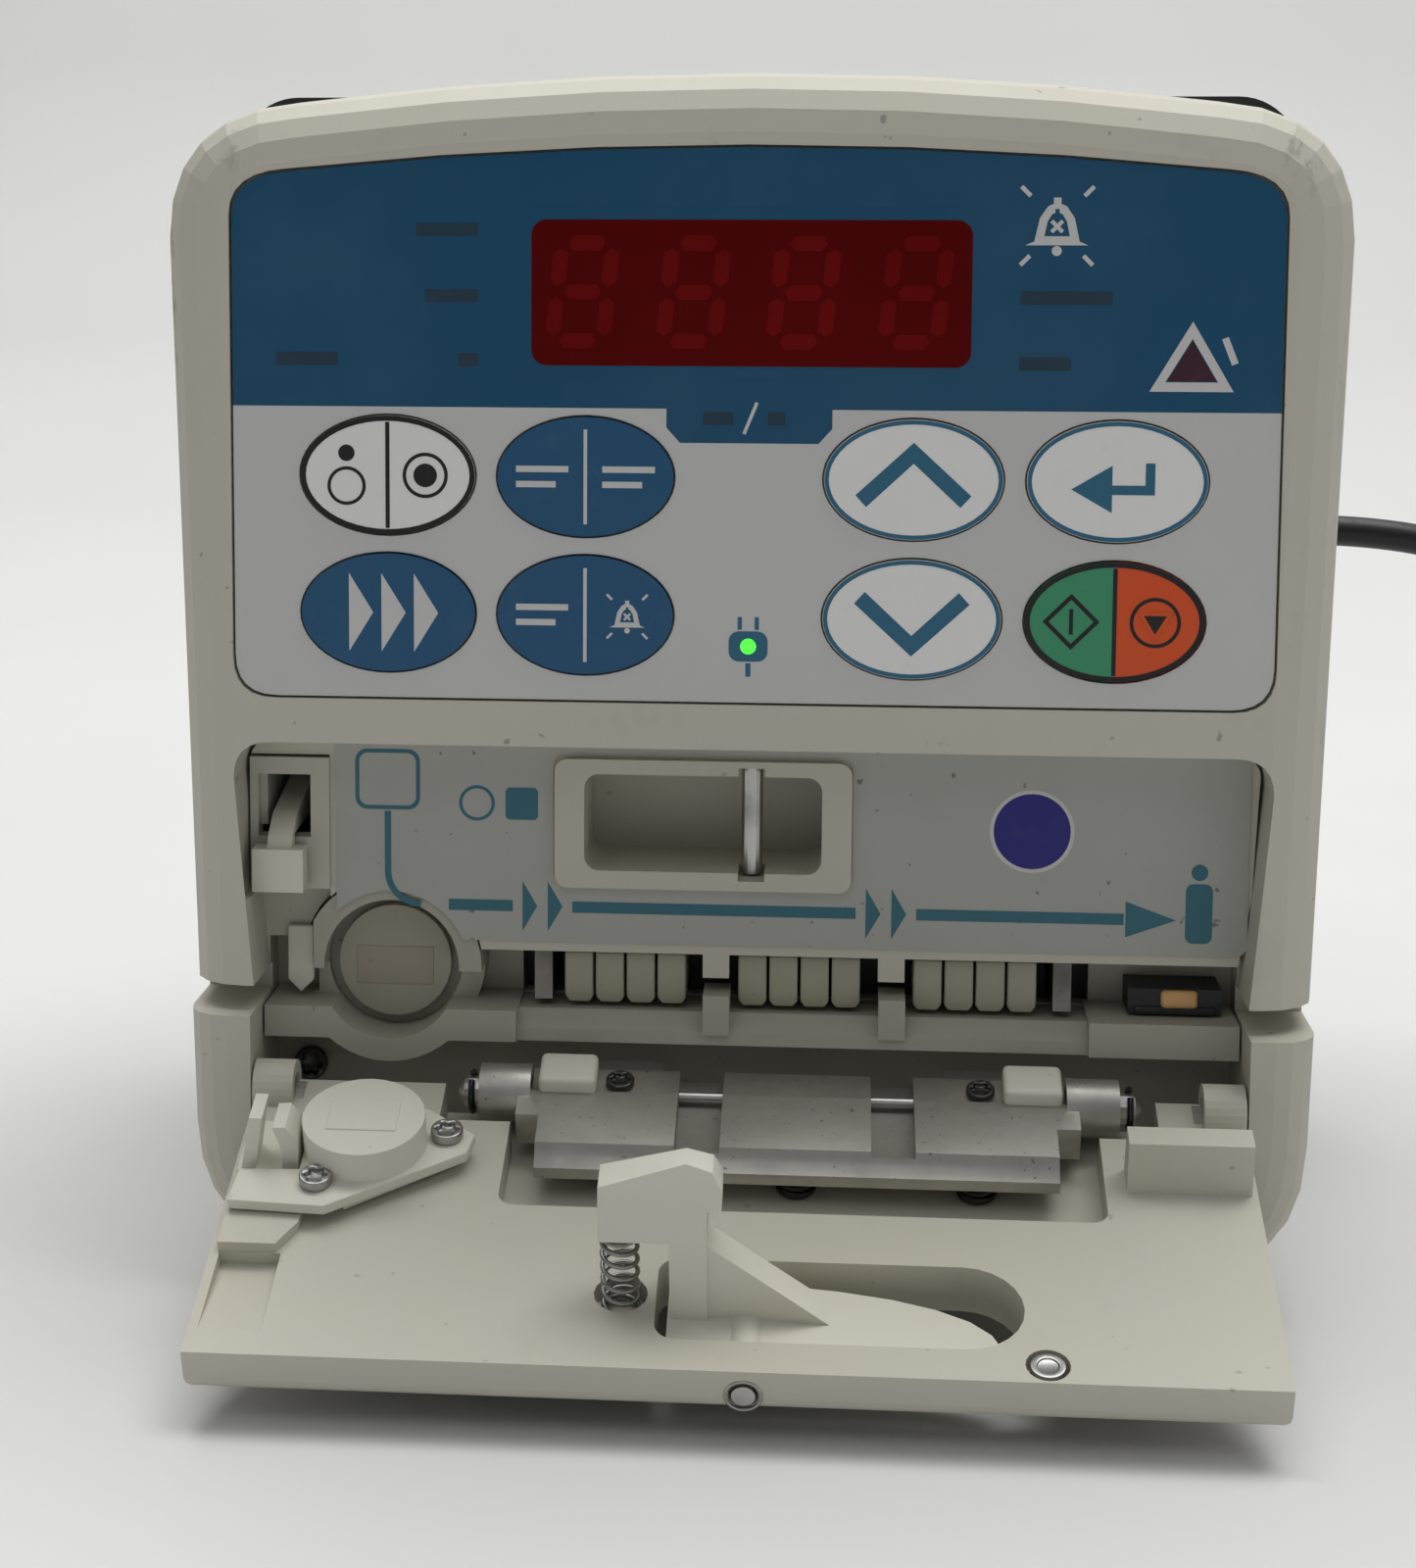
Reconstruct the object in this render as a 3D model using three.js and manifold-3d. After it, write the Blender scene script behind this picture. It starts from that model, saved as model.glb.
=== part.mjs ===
// Volumetric infusion pump, door open: a linear peristaltic pump that stands on a table or in a rack.
// Millimetres, +Z up, the keypad face looks along -Y. The pump's own frame has x = 0 on its middle plane,
// y = 0 on the keypad face and z = 0 near the casing's base; the group PUMP then stands it on its feet.
import * as THREE from "three";
import { mergeVertices } from "three/addons/utils/BufferGeometryUtils.js";
import Module from "manifold-3d";

const wasm = await Module();
wasm.setup();

// ---- Driving dimensions ----
const GAP = 0.3; // between pieces that touch
const RUN = 0.35; // between pieces that move past each other

const CASE = {
  halfTop: 70, // half width at the shoulders
  halfLow: 66.6, // half width at the base
  base: -8.5,
  shoulder: 130.6, // height where the top arch meets the corners
  top: 134,
  cornerTop: 16,
  cornerLow: 16,
  edge: 7, // round of the front edge
  front: -0.15, // the bezel stands a little in front of the keypad
  split: 45, // depth where the rear cover begins
  wall: 2.4,
};
const REAR = { half: CASE.halfTop - 0.7, top: CASE.top - 1.2, depth: 98, corner: 8, wall: 2.4 };
const KEYPAD = { half: 61.2, base: 60.1, side: 117, top: 125.2, face: 0.1, thick: 1.1, corner: 5 };
const KEY = { rx: 10.4, rz: 7.05, thick: 1.0, travel: 0.35, proud: 0.25 };
const KEY_X = { far: 42.7, near: 19.2 };
const KEY_Z = { upper: 86.7, lower: 70.3 };
const WINDOW = { half: 25.6, base: 99.8, top: 116.8, thick: 2.4 };

const BAY = { half: 61.6, top: 54.4, corner: 4.5, plate: 7.5, wall: 10.5, back: 16, floor: 1 };
const PLATE = { half: 61.2, left: -51.2, base: 27.7, thick: 2.7 };
const LATCH_POCKET = { left: -19.8, right: 9, base: 38.1, top: 50, deep: 21, wall: 1.2, rim: 3.6 };
const PIN = { r: 1.3, x: 0.5, y: 10.5 };
const LEVER_FRAME = { left: -61, right: -51.2, base: 35, top: 51.3 };
const SLOT = { base: 21.3, top: 24.4, deep: 12 }; // tube slots through the casing's sides
const CHEEK = { inner: 59.4, front: -2.6, edge: 5 };
const TRAY = { front: 5, base: 16.8, shelf: 20.7, lip: 20.3, left: -28, right: 41.3 };
const CUP = { x: -43.7, z: 25.2, r: 8.4, wall: 2.8, face: 11 };
CUP.collar = CUP.r + CUP.wall;
CUP.disc = CUP.r - 1.4;
const AIR = { left: 46.2, right: 57.4, face: 9 };

const FINGER = {
  first: -22.3, // left edge of the first finger
  pitch: 3.8,
  perGroup: 4,
  between: 6.1, // added to the pitch from one group to the next
  face: 8.5,
  base: 20.9,
  top: 27.4,
  ease: 0.5,
};
FINGER.width = FINGER.pitch - RUN;
FINGER.group = FINGER.perGroup * FINGER.pitch + FINGER.between;
FINGER.last = FINGER.first + 3 * FINGER.group - FINGER.between - RUN; // right edge of the last finger
const VALVE = { width: 2.2, base: 21.2, top: 27.3, face: 9.4 };
VALVE.leftX = FINGER.first - 2.7;
VALVE.rightX = FINGER.last + 3.15;
const CAM = { y: 41.5, z: 24.6, r: 4, offset: 1.25, shaft: 2.5, width: 3 };

const DOOR = {
  half: CHEEK.inner - GAP, // half width of the panel
  top: 58.5,
  rear: 9.9,
  inner: -0.5, // depth of its inner face when shut
  thick: 6.2,
  edge: 3.2, // round of its outer edges
  openDeg: 110.3, // from shut to fully open
};
const HINGE = { y: 0, z: 12, r: 1.5, lug: 3.3, lugWidth: 4.9, reach: 3.9 };
const POCKET = {
  left: -27.6, right: 41.9, front: 32.3, deep: 4.4, // under the platen
  wideLeft: -36.2, wideRight: 49, wideFront: 17, // round the shaft's ends
};
const PLATEN = {
  left: -26.8, right: 39.6, front: 25, rear: 7.8,
  face: 2.3, strip: 1.7, under: -2, // heights over the door's inner face
  notch: 18.5,
};
const PLATEN_GAPS = [[-7.7, -2.4], [15.2, 20.3]];
const SHAFT = { r: 1.95, core: 0.6, left: -34.4, right: 47.2, boss: 3.5 };
const PLATEN_SPRING = { r: 2.5, z: 22.6, xs: [-14.6, 6.5, 27.5] };
const BOSS = { x: -43.6, z: 25.7, r: 7.2, high: 6.9, flange: 1.3, ledge: 1.3 };
const LATCH = { x: 1.5, y: -3.8, slotLeft: -8.4, slotRight: 31.7, slotLow: 40.6, slotTop: 53.8 };
const HEAD = {
  left: -14.5, right: -1.1, low: 43.3, top: 49.2,
  under: 9, over: 12.7, high: 17.5, // heights over the door's inner face
  sweep: 38.1, // radius about the hinge that its end keeps inside
};
const MAGNET = { x: 33.7, z: 55.8, r: 2.1 };

const FOOT = { high: 4.7, width: 9, x: 48, front: 12, rear: 90 };
const CORD = { r: 2.3, y: REAR.depth + 10, z: 70.5, exit: 79 };
const COIL = { x: 164, mean: 25.3, pitch: 4.75, across: 3, layers: 4 };
const INLET = { x: 44, z: CORD.z, w: 12, h: 8 };
const CLAMP = { x: 30, z0: 86, z1: 112, plate: 8, reach: 38, screw: 4 };
const FLOOR = CASE.base - GAP - FOOT.high; // the surface that the pump stands on

// ---- Materials ----
const finish = (color, roughness, metalness = 0) =>
  new THREE.MeshStandardMaterial({ color, roughness, metalness });
const CASE_GREY = [0xbdbaad, 0.55];
const BLACK = [0x17181a, 0.6];
const IVORY = [0xd9d5c6, 0.45];
const STEEL = [0x9a9a98, 0.3, 1];

// ---- Solids ----
// A closed geometry as a manifold solid.
function solid(geometry) {
  const bare = new THREE.BufferGeometry();
  const flat = geometry.index ? geometry.toNonIndexed() : geometry;
  bare.setAttribute("position", flat.getAttribute("position"));
  const merged = mergeVertices(bare, 1e-4);
  return new wasm.Manifold(
    new wasm.Mesh({
      numProp: 3,
      vertProperties: merged.attributes.position.array,
      triVerts: new Uint32Array(merged.index.array),
    }),
  );
}

// A manifold solid as a three.js geometry.
function geometryOf(made) {
  const mesh = made.getMesh();
  const geometry = new THREE.BufferGeometry();
  geometry.setAttribute("position", new THREE.BufferAttribute(new Float32Array(mesh.vertProperties), 3));
  geometry.setIndex(new THREE.BufferAttribute(new Uint32Array(mesh.triVerts), 1));
  return geometry;
}

// A box from its lowest to its highest corner.
function block(x0, x1, y0, y1, z0, z1) {
  const box = new THREE.BoxGeometry(x1 - x0, y1 - y0, z1 - z0);
  box.translate((x0 + x1) / 2, (y0 + y1) / 2, (z0 + z1) / 2);
  return solid(box);
}

// A shape drawn in x and z, made solid from depth y0 to y1; its front edge can be rounded.
function slab(shape, y0, y1, edge = 0, curveSegments = 6) {
  const options = { depth: y1 - y0, bevelEnabled: false, curveSegments };
  if (edge > 0) {
    Object.assign(options, {
      depth: y1 - y0 - edge,
      bevelEnabled: true,
      bevelThickness: edge,
      bevelSize: edge,
      bevelOffset: -edge,
      bevelSegments: 4,
    });
  }
  const made = new THREE.ExtrudeGeometry(shape, options);
  made.rotateX(Math.PI / 2);
  made.translate(0, y1, 0);
  if (edge === 0) return solid(made);
  return solid(made).subtract(block(-300, 300, y1, y1 + 2 * edge, -300, 300));
}

// A polygon in x and z made solid from depth y0 to y1.
const plateOf = (points, y0, y1) =>
  slab(new THREE.Shape(points.map(([x, z]) => new THREE.Vector2(x, z))), y0, y1);

// A polygon in y and z made solid from x0 to x1.
function barOf(points, x0, x1) {
  const shape = new THREE.Shape(points.map(([y, z]) => new THREE.Vector2(y, z)));
  const made = new THREE.ExtrudeGeometry(shape, { depth: x1 - x0, bevelEnabled: false });
  // x of the drawing goes to y, y of the drawing to z, and the extrusion to x
  made.applyMatrix4(new THREE.Matrix4().makeBasis(
    new THREE.Vector3(0, 1, 0), new THREE.Vector3(0, 0, 1), new THREE.Vector3(1, 0, 0)));
  made.translate(x0, 0, 0);
  return solid(made);
}

// A polygon in x and y made solid from z0 to z1.
function columnOf(points, z0, z1) {
  const shape = new THREE.Shape(points.map(([x, y]) => new THREE.Vector2(x, y)));
  const made = new THREE.ExtrudeGeometry(shape, { depth: z1 - z0, bevelEnabled: false });
  made.translate(0, 0, z0);
  return solid(made);
}

// Cylinders along each axis, from one end to the other.
function rodX(r, x0, x1, y, z, sides = 20) {
  const made = new THREE.CylinderGeometry(r, r, x1 - x0, sides);
  made.rotateZ(-Math.PI / 2);
  made.translate((x0 + x1) / 2, y, z);
  return solid(made);
}
function rodY(r, y0, y1, x, z, sides = 24) {
  const made = new THREE.CylinderGeometry(r, r, y1 - y0, sides);
  made.translate(x, (y0 + y1) / 2, z);
  return solid(made);
}
function rodZ(r, z0, z1, x, y, sides = 20) {
  const made = new THREE.CylinderGeometry(r, r, z1 - z0, sides);
  made.rotateX(Math.PI / 2);
  made.translate(x, y, (z0 + z1) / 2);
  return solid(made);
}

// A rectangle in x and z with rounded corners.
function roundedRect(x0, x1, z0, z1, r) {
  const s = new THREE.Shape();
  s.moveTo(x0 + r, z0);
  s.lineTo(x1 - r, z0);
  s.absarc(x1 - r, z0 + r, r, -Math.PI / 2, 0, false);
  s.lineTo(x1, z1 - r);
  s.absarc(x1 - r, z1 - r, r, 0, Math.PI / 2, false);
  s.lineTo(x0 + r, z1);
  s.absarc(x0 + r, z1 - r, r, Math.PI / 2, Math.PI, false);
  s.lineTo(x0, z0 + r);
  s.absarc(x0 + r, z0 + r, r, Math.PI, 1.5 * Math.PI, false);
  return s;
}

const PUMP = new THREE.Group();
PUMP.position.set(0, 0, -FLOOR);
const LEAD = new THREE.Group();
LEAD.position.copy(PUMP.position);
const MODEL = new THREE.Group();
MODEL.add(PUMP, LEAD);

// Everything on the door is drawn with the door shut, and turned open about the hinge.
const SWING = new THREE.Group();
SWING.position.set(0, HINGE.y, HINGE.z);
SWING.rotation.x = THREE.MathUtils.degToRad(DOOR.openDeg);
const SHUT = new THREE.Group();
SHUT.position.set(0, -HINGE.y, -HINGE.z);
SWING.add(SHUT);
PUMP.add(SWING);

function add(parent, name, shape, look) {
  const mesh = new THREE.Mesh(shape.isBufferGeometry ? shape : geometryOf(shape), finish(...look));
  mesh.name = name;
  parent.add(mesh);
}

// ---- Casing ----
// The casing seen from the front: an arched top, sides that lean in a little towards the base.
function caseOutline(inset) {
  const { halfTop, halfLow, cornerTop, cornerLow } = CASE;
  const high = halfTop - inset;
  const low = halfLow - inset;
  const base = CASE.base + inset;
  const shoulder = CASE.shoulder - inset;
  const top = CASE.top - inset;
  const rt = cornerTop - inset * 0.6;
  const rl = cornerLow - inset * 0.6;
  const s = new THREE.Shape();
  s.moveTo(-low + rl, base);
  s.lineTo(low - rl, base);
  s.quadraticCurveTo(low, base, low + 0.4, base + rl);
  s.lineTo(high, shoulder - rt);
  s.quadraticCurveTo(high, shoulder - 1, high - rt, shoulder);
  s.quadraticCurveTo(0, 2 * top - shoulder, -high + rt, shoulder);
  s.quadraticCurveTo(-high, shoulder - 1, -high, shoulder - rt);
  s.lineTo(-low - 0.4, base + rl);
  s.quadraticCurveTo(-low, base, -low + rl, base);
  return s;
}

// The keypad's outline: straight sides and foot, arched top.
function keypadOutline(inset) {
  const half = KEYPAD.half - inset;
  const base = KEYPAD.base + inset;
  const side = KEYPAD.side - inset;
  const top = KEYPAD.top - inset;
  const r = KEYPAD.corner;
  const s = new THREE.Shape();
  s.moveTo(-half + r, base);
  s.lineTo(half - r, base);
  s.quadraticCurveTo(half, base, half, base + r);
  s.lineTo(half, side);
  s.quadraticCurveTo(half, top - 3.2, half - 7, top - 2.8);
  s.quadraticCurveTo(0, top + 2.8, -half + 7, top - 2.8);
  s.quadraticCurveTo(-half, top - 3.2, -half, side);
  s.lineTo(-half, base + r);
  s.quadraticCurveTo(-half, base, -half + r, base);
  return s;
}

// The opening of the bay in the front wall, down to the gap between the cheeks.
function bayOutline() {
  const { half, top, corner, floor } = BAY;
  const s = new THREE.Shape();
  s.moveTo(-CHEEK.inner, floor);
  s.lineTo(CHEEK.inner, floor);
  s.lineTo(CHEEK.inner, SLOT.top);
  s.lineTo(half, top - corner);
  s.quadraticCurveTo(half, top, half - corner, top);
  s.lineTo(-half + corner, top);
  s.quadraticCurveTo(-half, top, -half, top - corner);
  s.lineTo(-CHEEK.inner, SLOT.top);
  return s;
}

const keyOval = (x, z, grow) => {
  const s = new THREE.Shape();
  s.absellipse(x, z, KEY.rx + grow, KEY.rz + grow, 0, 2 * Math.PI, false);
  return s;
};
const KEYS = [
  ["key_power", -KEY_X.far, KEY_Z.upper, [0xf2f2f0, 0.4]],
  ["key_select", -KEY_X.near, KEY_Z.upper, [0x24618c, 0.4]],
  ["key_up", KEY_X.near, KEY_Z.upper, [0xf2f2f0, 0.4]],
  ["key_enter", KEY_X.far, KEY_Z.upper, [0xf2f2f0, 0.4]],
  ["key_prime", -KEY_X.far, KEY_Z.lower, [0x24618c, 0.4]],
  ["key_clear", -KEY_X.near, KEY_Z.lower, [0x24618c, 0.4]],
  ["key_down", KEY_X.near, KEY_Z.lower, [0xf2f2f0, 0.4]],
  ["key_run", KEY_X.far, KEY_Z.lower, [0x2fa866, 0.4]],
];

function frontCasing() {
  const { front, split, wall } = CASE;
  const seat = KEYPAD.face + KEYPAD.thick + GAP; // depth of the keypad's seat
  const wallBack = seat + 2;
  let body = slab(caseOutline(0), front, split, CASE.edge);
  // the lower cheeks stand further forward, to hold the hinge pins
  const chin = slab(caseOutline(0), CHEEK.front, split - 20, CHEEK.edge)
    .intersect(block(-90, 90, CHEEK.front - 1, split, CASE.base - 1, SLOT.base))
    .subtract(block(-CHEEK.inner, CHEEK.inner, CHEEK.front - 1, 8, CASE.base - 1, SLOT.base + 1));
  body = body.add(chin);
  // hollow behind the keypad, then behind the bay's walls
  body = body.subtract(
    slab(caseOutline(wall), wallBack, split + 1).intersect(block(-90, 90, 0, 60, BAY.top + wall, 140)));
  body = body.subtract(
    slab(caseOutline(wall), BAY.back + wall, split + 1)
      .intersect(block(-90, 90, 0, 60, -20, BAY.top + wall + 1)));
  // seat of the keypad, and the display opening behind it
  body = body.subtract(slab(keypadOutline(-GAP), front - 1, seat));
  const { half: wide, base: sill, top: head } = WINDOW;
  body = body.subtract(block(-wide - 0.5, wide + 0.5, 0, 9, sill - 0.5, head + 0.5));
  // the bay: shallow above, deep where the door's hinge and platen lie
  body = body.subtract(slab(bayOutline(), CHEEK.front - 2, BAY.wall));
  body = body.subtract(block(-CHEEK.inner, CHEEK.inner, 0, BAY.back, BAY.floor, FINGER.top + 0.7));
  // openings for the mechanism
  body = body.subtract(block(TRAY.left - 0.2, TRAY.right + 0.7, 0, 30, FINGER.base - 0.4, FINGER.top + 0.7));
  for (const [piece, clear] of [[LATCH_POCKET, 1.6], [LEVER_FRAME, GAP]]) {
    body = body.subtract(
      block(piece.left - clear, piece.right + clear, 0, 30, piece.base - clear, piece.top + clear));
  }
  body = body.subtract(rodY(CUP.collar + GAP, 0, BAY.back, CUP.x, CUP.z, 40));
  // the tube leaves the bay through a slot in each side
  for (const side of [-1, 1]) {
    const outer = side * (CASE.halfTop + 5);
    const inner = side * (CHEEK.inner - 1);
    body = body.subtract(
      block(Math.min(inner, outer), Math.max(inner, outer), -20, SLOT.deep, SLOT.base, SLOT.top));
    const pin = side * (CHEEK.inner + HINGE.reach + GAP);
    body = body.subtract(
      rodX(HINGE.r + RUN, Math.min(inner, pin), Math.max(inner, pin), HINGE.y, HINGE.z, 16));
  }
  return body;
}
add(PUMP, "front_casing", frontCasing(), CASE_GREY);

function rearCover() {
  const { half, top, depth, corner, wall } = REAR;
  const base = CASE.base;
  const start = CASE.split + GAP;
  let body = slab(roundedRect(-half, half, base, top, corner), start, depth);
  const hollow = roundedRect(-half + wall, half - wall, base + wall, top - wall, corner - wall);
  body = body.subtract(slab(hollow, start - 1, depth - wall));
  return body.subtract(block(INLET.x - INLET.w - GAP, INLET.x + INLET.w + GAP, depth - 9, depth + 1,
    INLET.z - INLET.h - GAP, INLET.z + INLET.h + GAP));
}
add(PUMP, "rear_cover", rearCover(), BLACK);

function feet() {
  const top = CASE.base - GAP;
  const { high, width, x, front, rear } = FOOT;
  const strip = (x0) => block(x0, x0 + width, front, rear, top - high, top);
  return strip(-x - width / 2).add(strip(x - width / 2))
    .add(block(-x, x, rear - 8, rear, top - high * 0.6, top));
}
add(PUMP, "foot_frame", feet(), BLACK);

// ---- Keypad and display ----
function keypadOverlay() {
  let sheet = slab(keypadOutline(0), KEYPAD.face, KEYPAD.face + KEYPAD.thick);
  for (const [, x, z] of KEYS) sheet = sheet.subtract(slab(keyOval(x, z, 0.25), -1, 3, 0, 24));
  return sheet.subtract(
    block(-WINDOW.half - 0.25, WINDOW.half + 0.25, -1, 3, WINDOW.base - 0.25, WINDOW.top + 0.25));
}
add(PUMP, "keypad_overlay", keypadOverlay(), [0x8f979d, 0.45]);
for (const [name, x, z, look] of KEYS) {
  const face = KEYPAD.face - KEY.proud;
  add(PUMP, name, slab(keyOval(x, z, 0), face, face + KEY.thick, 0, 24), look);
}
add(PUMP, "display_window",
  slab(roundedRect(-WINDOW.half, WINDOW.half, WINDOW.base, WINDOW.top, 1.8), 0, WINDOW.thick),
  [0x5a0810, 0.15]);
const DISPLAY_BOARD = block(-56, 56, 8, 9.6, 64, 120)
  .add(block(-WINDOW.half + 1, WINDOW.half - 1, 3.4, 8.1, WINDOW.base + 1, WINDOW.top - 1));
add(PUMP, "display_board", DISPLAY_BOARD, [0x1d5a3a, 0.6]);

// ---- Electronics behind ----
add(PUMP, "battery_pack", block(-38, 38, CASE.split + 13, REAR.depth - 8, -2, 40), [0x2b3f6b, 0.5]);

// ---- Bay plate with the latch pocket ----
function bayPlate() {
  const { plate } = BAY;
  const { half, left: left0, base, thick } = PLATE;
  const back = plate + thick;
  let made = plateOf([
    [-half, BAY.top - 0.4], [-half, LEVER_FRAME.top + GAP], [left0, LEVER_FRAME.top + GAP], [left0, base],
    [CHEEK.inner - 0.4, base], [half - 0.8, 36], [half, BAY.top - 0.4],
  ], plate, back);
  const corners = roundedRect(-half, half, 10, BAY.top - GAP, BAY.corner - 0.6);
  made = made.intersect(slab(corners, plate - 1, back + 1));
  made = made.subtract(rodY(CUP.collar + GAP, plate - 1, back + 1, CUP.x, CUP.z, 40));
  // tabs that part the finger groups
  for (let i = 0; i < 2; i++) {
    const x = FINGER.first + FINGER.group * (i + 1) - 4.3;
    made = made.add(block(x, x + 3.2, plate, back, 24.8, base + 0.5));
  }
  // rim and pocket of the door latch
  const { left, right, base: low, top, deep, wall, rim } = LATCH_POCKET;
  made = made.add(slab(roundedRect(left - rim, right + rim, low - 2.2, top + 1.8, 1.6), plate - 1.1, back));
  made = made.add(block(left - wall, right + wall, plate, deep + wall, low - wall, top + wall));
  made = made.subtract(slab(roundedRect(left, right, low, top, 1.8), plate - 3, deep));
  const side = PIN.r + GAP;
  return made.subtract(block(PIN.x - side, PIN.x + side, plate - 3, PIN.y + side, low - 1, top + 1));
}
add(PUMP, "bay_plate", bayPlate(), CASE_GREY);
add(PUMP, "latch_pin",
  rodZ(PIN.r, LATCH_POCKET.base - 0.7, LATCH_POCKET.top + 0.7, PIN.x, PIN.y, 16), STEEL);

// ---- Clamp lever at the left ----
const LEVER = { x0: -58.4, x1: -55.4, y: 29, z: 46, pin: 1.5 };
function leverFrame() {
  const { left, right, base, top } = LEVER_FRAME;
  const front = BAY.plate - 0.6;
  let made = block(left, right, front, front + 3, base, top);
  made = made.subtract(block(left + 1, right - 2.3, 0, 20, 41.4, 49.2));
  // two lugs behind hold the lever's pin
  const lug = (x) => block(x, x + 1.8, front + 2, LEVER.y + 3.5, LEVER.z - 3.5, top);
  made = made.add(lug(left)).add(lug(-53.4));
  return made.subtract(rodX(LEVER.pin + GAP, left - 1, right + 1, LEVER.y, LEVER.z, 16));
}
add(PUMP, "lever_frame", leverFrame(), [0xa5a49c, 0.5]);
function clampLever() {
  const { x0, x1, y, z, pin } = LEVER;
  const profile = [
    [3.4, 39], [6.3, 39], [6.5, 41.9], [y, z - 3], [y, z + 2.6], [8, 44.2], [4.6, 42],
  ];
  const arm = barOf(profile, x0, x1);
  const knob = block(LEVER_FRAME.left + 0.9, LEVER.x1 + 1.6, 2.9, 6.3, 35.3, 40.6);
  return arm.add(knob)
    .add(rodX(2.8, x0, x1, y, z, 16))
    .add(rodX(pin, LEVER_FRAME.left + 0.1, -51.7, y, z, 16));
}
add(PUMP, "clamp_lever", clampLever(), IVORY);
const PEG = { x: -55.3, y: 9.2, thick: 1, top: 29.7, tip: 21.3 };
function clampPeg() {
  const { x, y, thick, top, tip } = PEG;
  const tongue = [
    [x - 1.6, top], [x - 1.6, tip + 1.6], [x, tip], [x + 1.6, tip + 1.6], [x + 1.6, top],
  ];
  return plateOf(tongue, y, y + thick)
    .add(rodY(1.1, y + thick - 0.2, BAY.back - GAP, x, top - 3.2, 12));
}
add(PUMP, "clamp_peg", clampPeg(), IVORY);

// ---- Tube tray ----
function tubeTray() {
  const { front, base, shelf, lip, left, right } = TRAY;
  const back = BAY.back - GAP;
  const end = CHEEK.inner - GAP;
  let made = block(-end, left, front, back, base, shelf);
  made = made.add(block(right, end, front, back, base, shelf + 0.3));
  const ledge = [
    [front + 1, base], [back, base], [back, lip], [front + 3.4, lip], [front + 1.2, lip - 1.9],
  ];
  made = made.add(barOf(ledge, left - 0.5, right + 0.5));
  // the collar round the pressure disc stands forward below the tube and lies back above it
  const below = rodY(CUP.collar, front, back, CUP.x, CUP.z, 40).subtract(block(-90, 90, 0, 20, shelf, 60));
  const above = rodY(CUP.collar, BAY.plate + 0.2, back, CUP.x, CUP.z, 40)
    .subtract(block(-90, 90, 0, CUP.face + 0.5, 0, SLOT.top + 0.4))
    .subtract(block(-90, PEG.x + 1.6 + GAP, 0, 20, SLOT.base - 0.4, 40));
  made = made.add(below).add(above).subtract(rodY(CUP.r, 0, CUP.face + 2, CUP.x, CUP.z, 40));
  for (let i = 0; i < 2; i++) {
    const x = FINGER.first + FINGER.group * (i + 1) - 4.2;
    made = made.add(block(x, x + 3.2, front + 0.6, 12, lip - 2.2, 23));
  }
  return made;
}
add(PUMP, "tube_tray", tubeTray(), CASE_GREY);
add(PUMP, "pressure_disc", rodY(CUP.disc, CUP.face, CUP.face + 1.7, CUP.x, CUP.z, 32), [0xb4afa2, 0.5]);
add(PUMP, "air_sensor",
  block(AIR.left, AIR.right, AIR.face, BAY.back - GAP, TRAY.shelf + 0.6, 24.4), BLACK);

// ---- Pumping mechanism ----
const fingerX = (i) =>
  FINGER.first + FINGER.group * Math.floor(i / FINGER.perGroup) + FINGER.pitch * (i % FINGER.perGroup);
const FINGERS = 12;
const FINGER_BACK = CAM.y - CAM.r - CAM.offset - RUN;
for (let i = 0; i < FINGERS; i++) {
  const x = fingerX(i);
  const { width, face, base, top, ease } = FINGER;
  const end = [
    [x + ease, base], [x + width - ease, base], [x + width, base + 1.6 * ease], [x + width, top],
    [x, top], [x, base + 1.6 * ease],
  ];
  const profile = [
    [face, base + 2], [face + 1, base], [FINGER_BACK, base], [FINGER_BACK, top], [face, top],
  ];
  const finger = plateOf(end, face, FINGER_BACK).intersect(barOf(profile, x - 1, x + width + 1));
  add(PUMP, `finger_${i + 1}`, finger, IVORY);
}
const VALVES = [["valve_in", VALVE.leftX], ["valve_out", VALVE.rightX]];
for (const [name, x] of VALVES) {
  add(PUMP, name,
    block(x - VALVE.width / 2, x + VALVE.width / 2, VALVE.face, FINGER_BACK, VALVE.base, VALVE.top), STEEL);
}

function fingerGuide() {
  const front = BAY.back + CASE.wall + GAP;
  const bearing = (x) => block(x, x + 3, front, CAM.y + 5, 16, 33)
    .subtract(rodX(CAM.shaft + RUN, x - 1, x + 4, CAM.y, CAM.z, 16));
  let made = block(-33, 47, front, 30, 16, 33);
  made = made.add(bearing(-35.5)).add(bearing(46));
  for (let i = 0; i < FINGERS; i++) {
    const x = fingerX(i);
    const clear = (FINGER.pitch - FINGER.width) / 2 + 0.01;
    const end = x + FINGER.width + clear;
    made = made.subtract(block(x - clear, end, 0, 40, FINGER.base - RUN, FINGER.top + RUN));
  }
  const half = VALVE.width / 2 + RUN;
  for (const [, x] of VALVES) {
    made = made.subtract(block(x - half, x + half, 0, 40, VALVE.base - RUN, VALVE.top + RUN));
  }
  return made;
}
add(PUMP, "finger_guide", fingerGuide(), [0x55575a, 0.5]);

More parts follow.
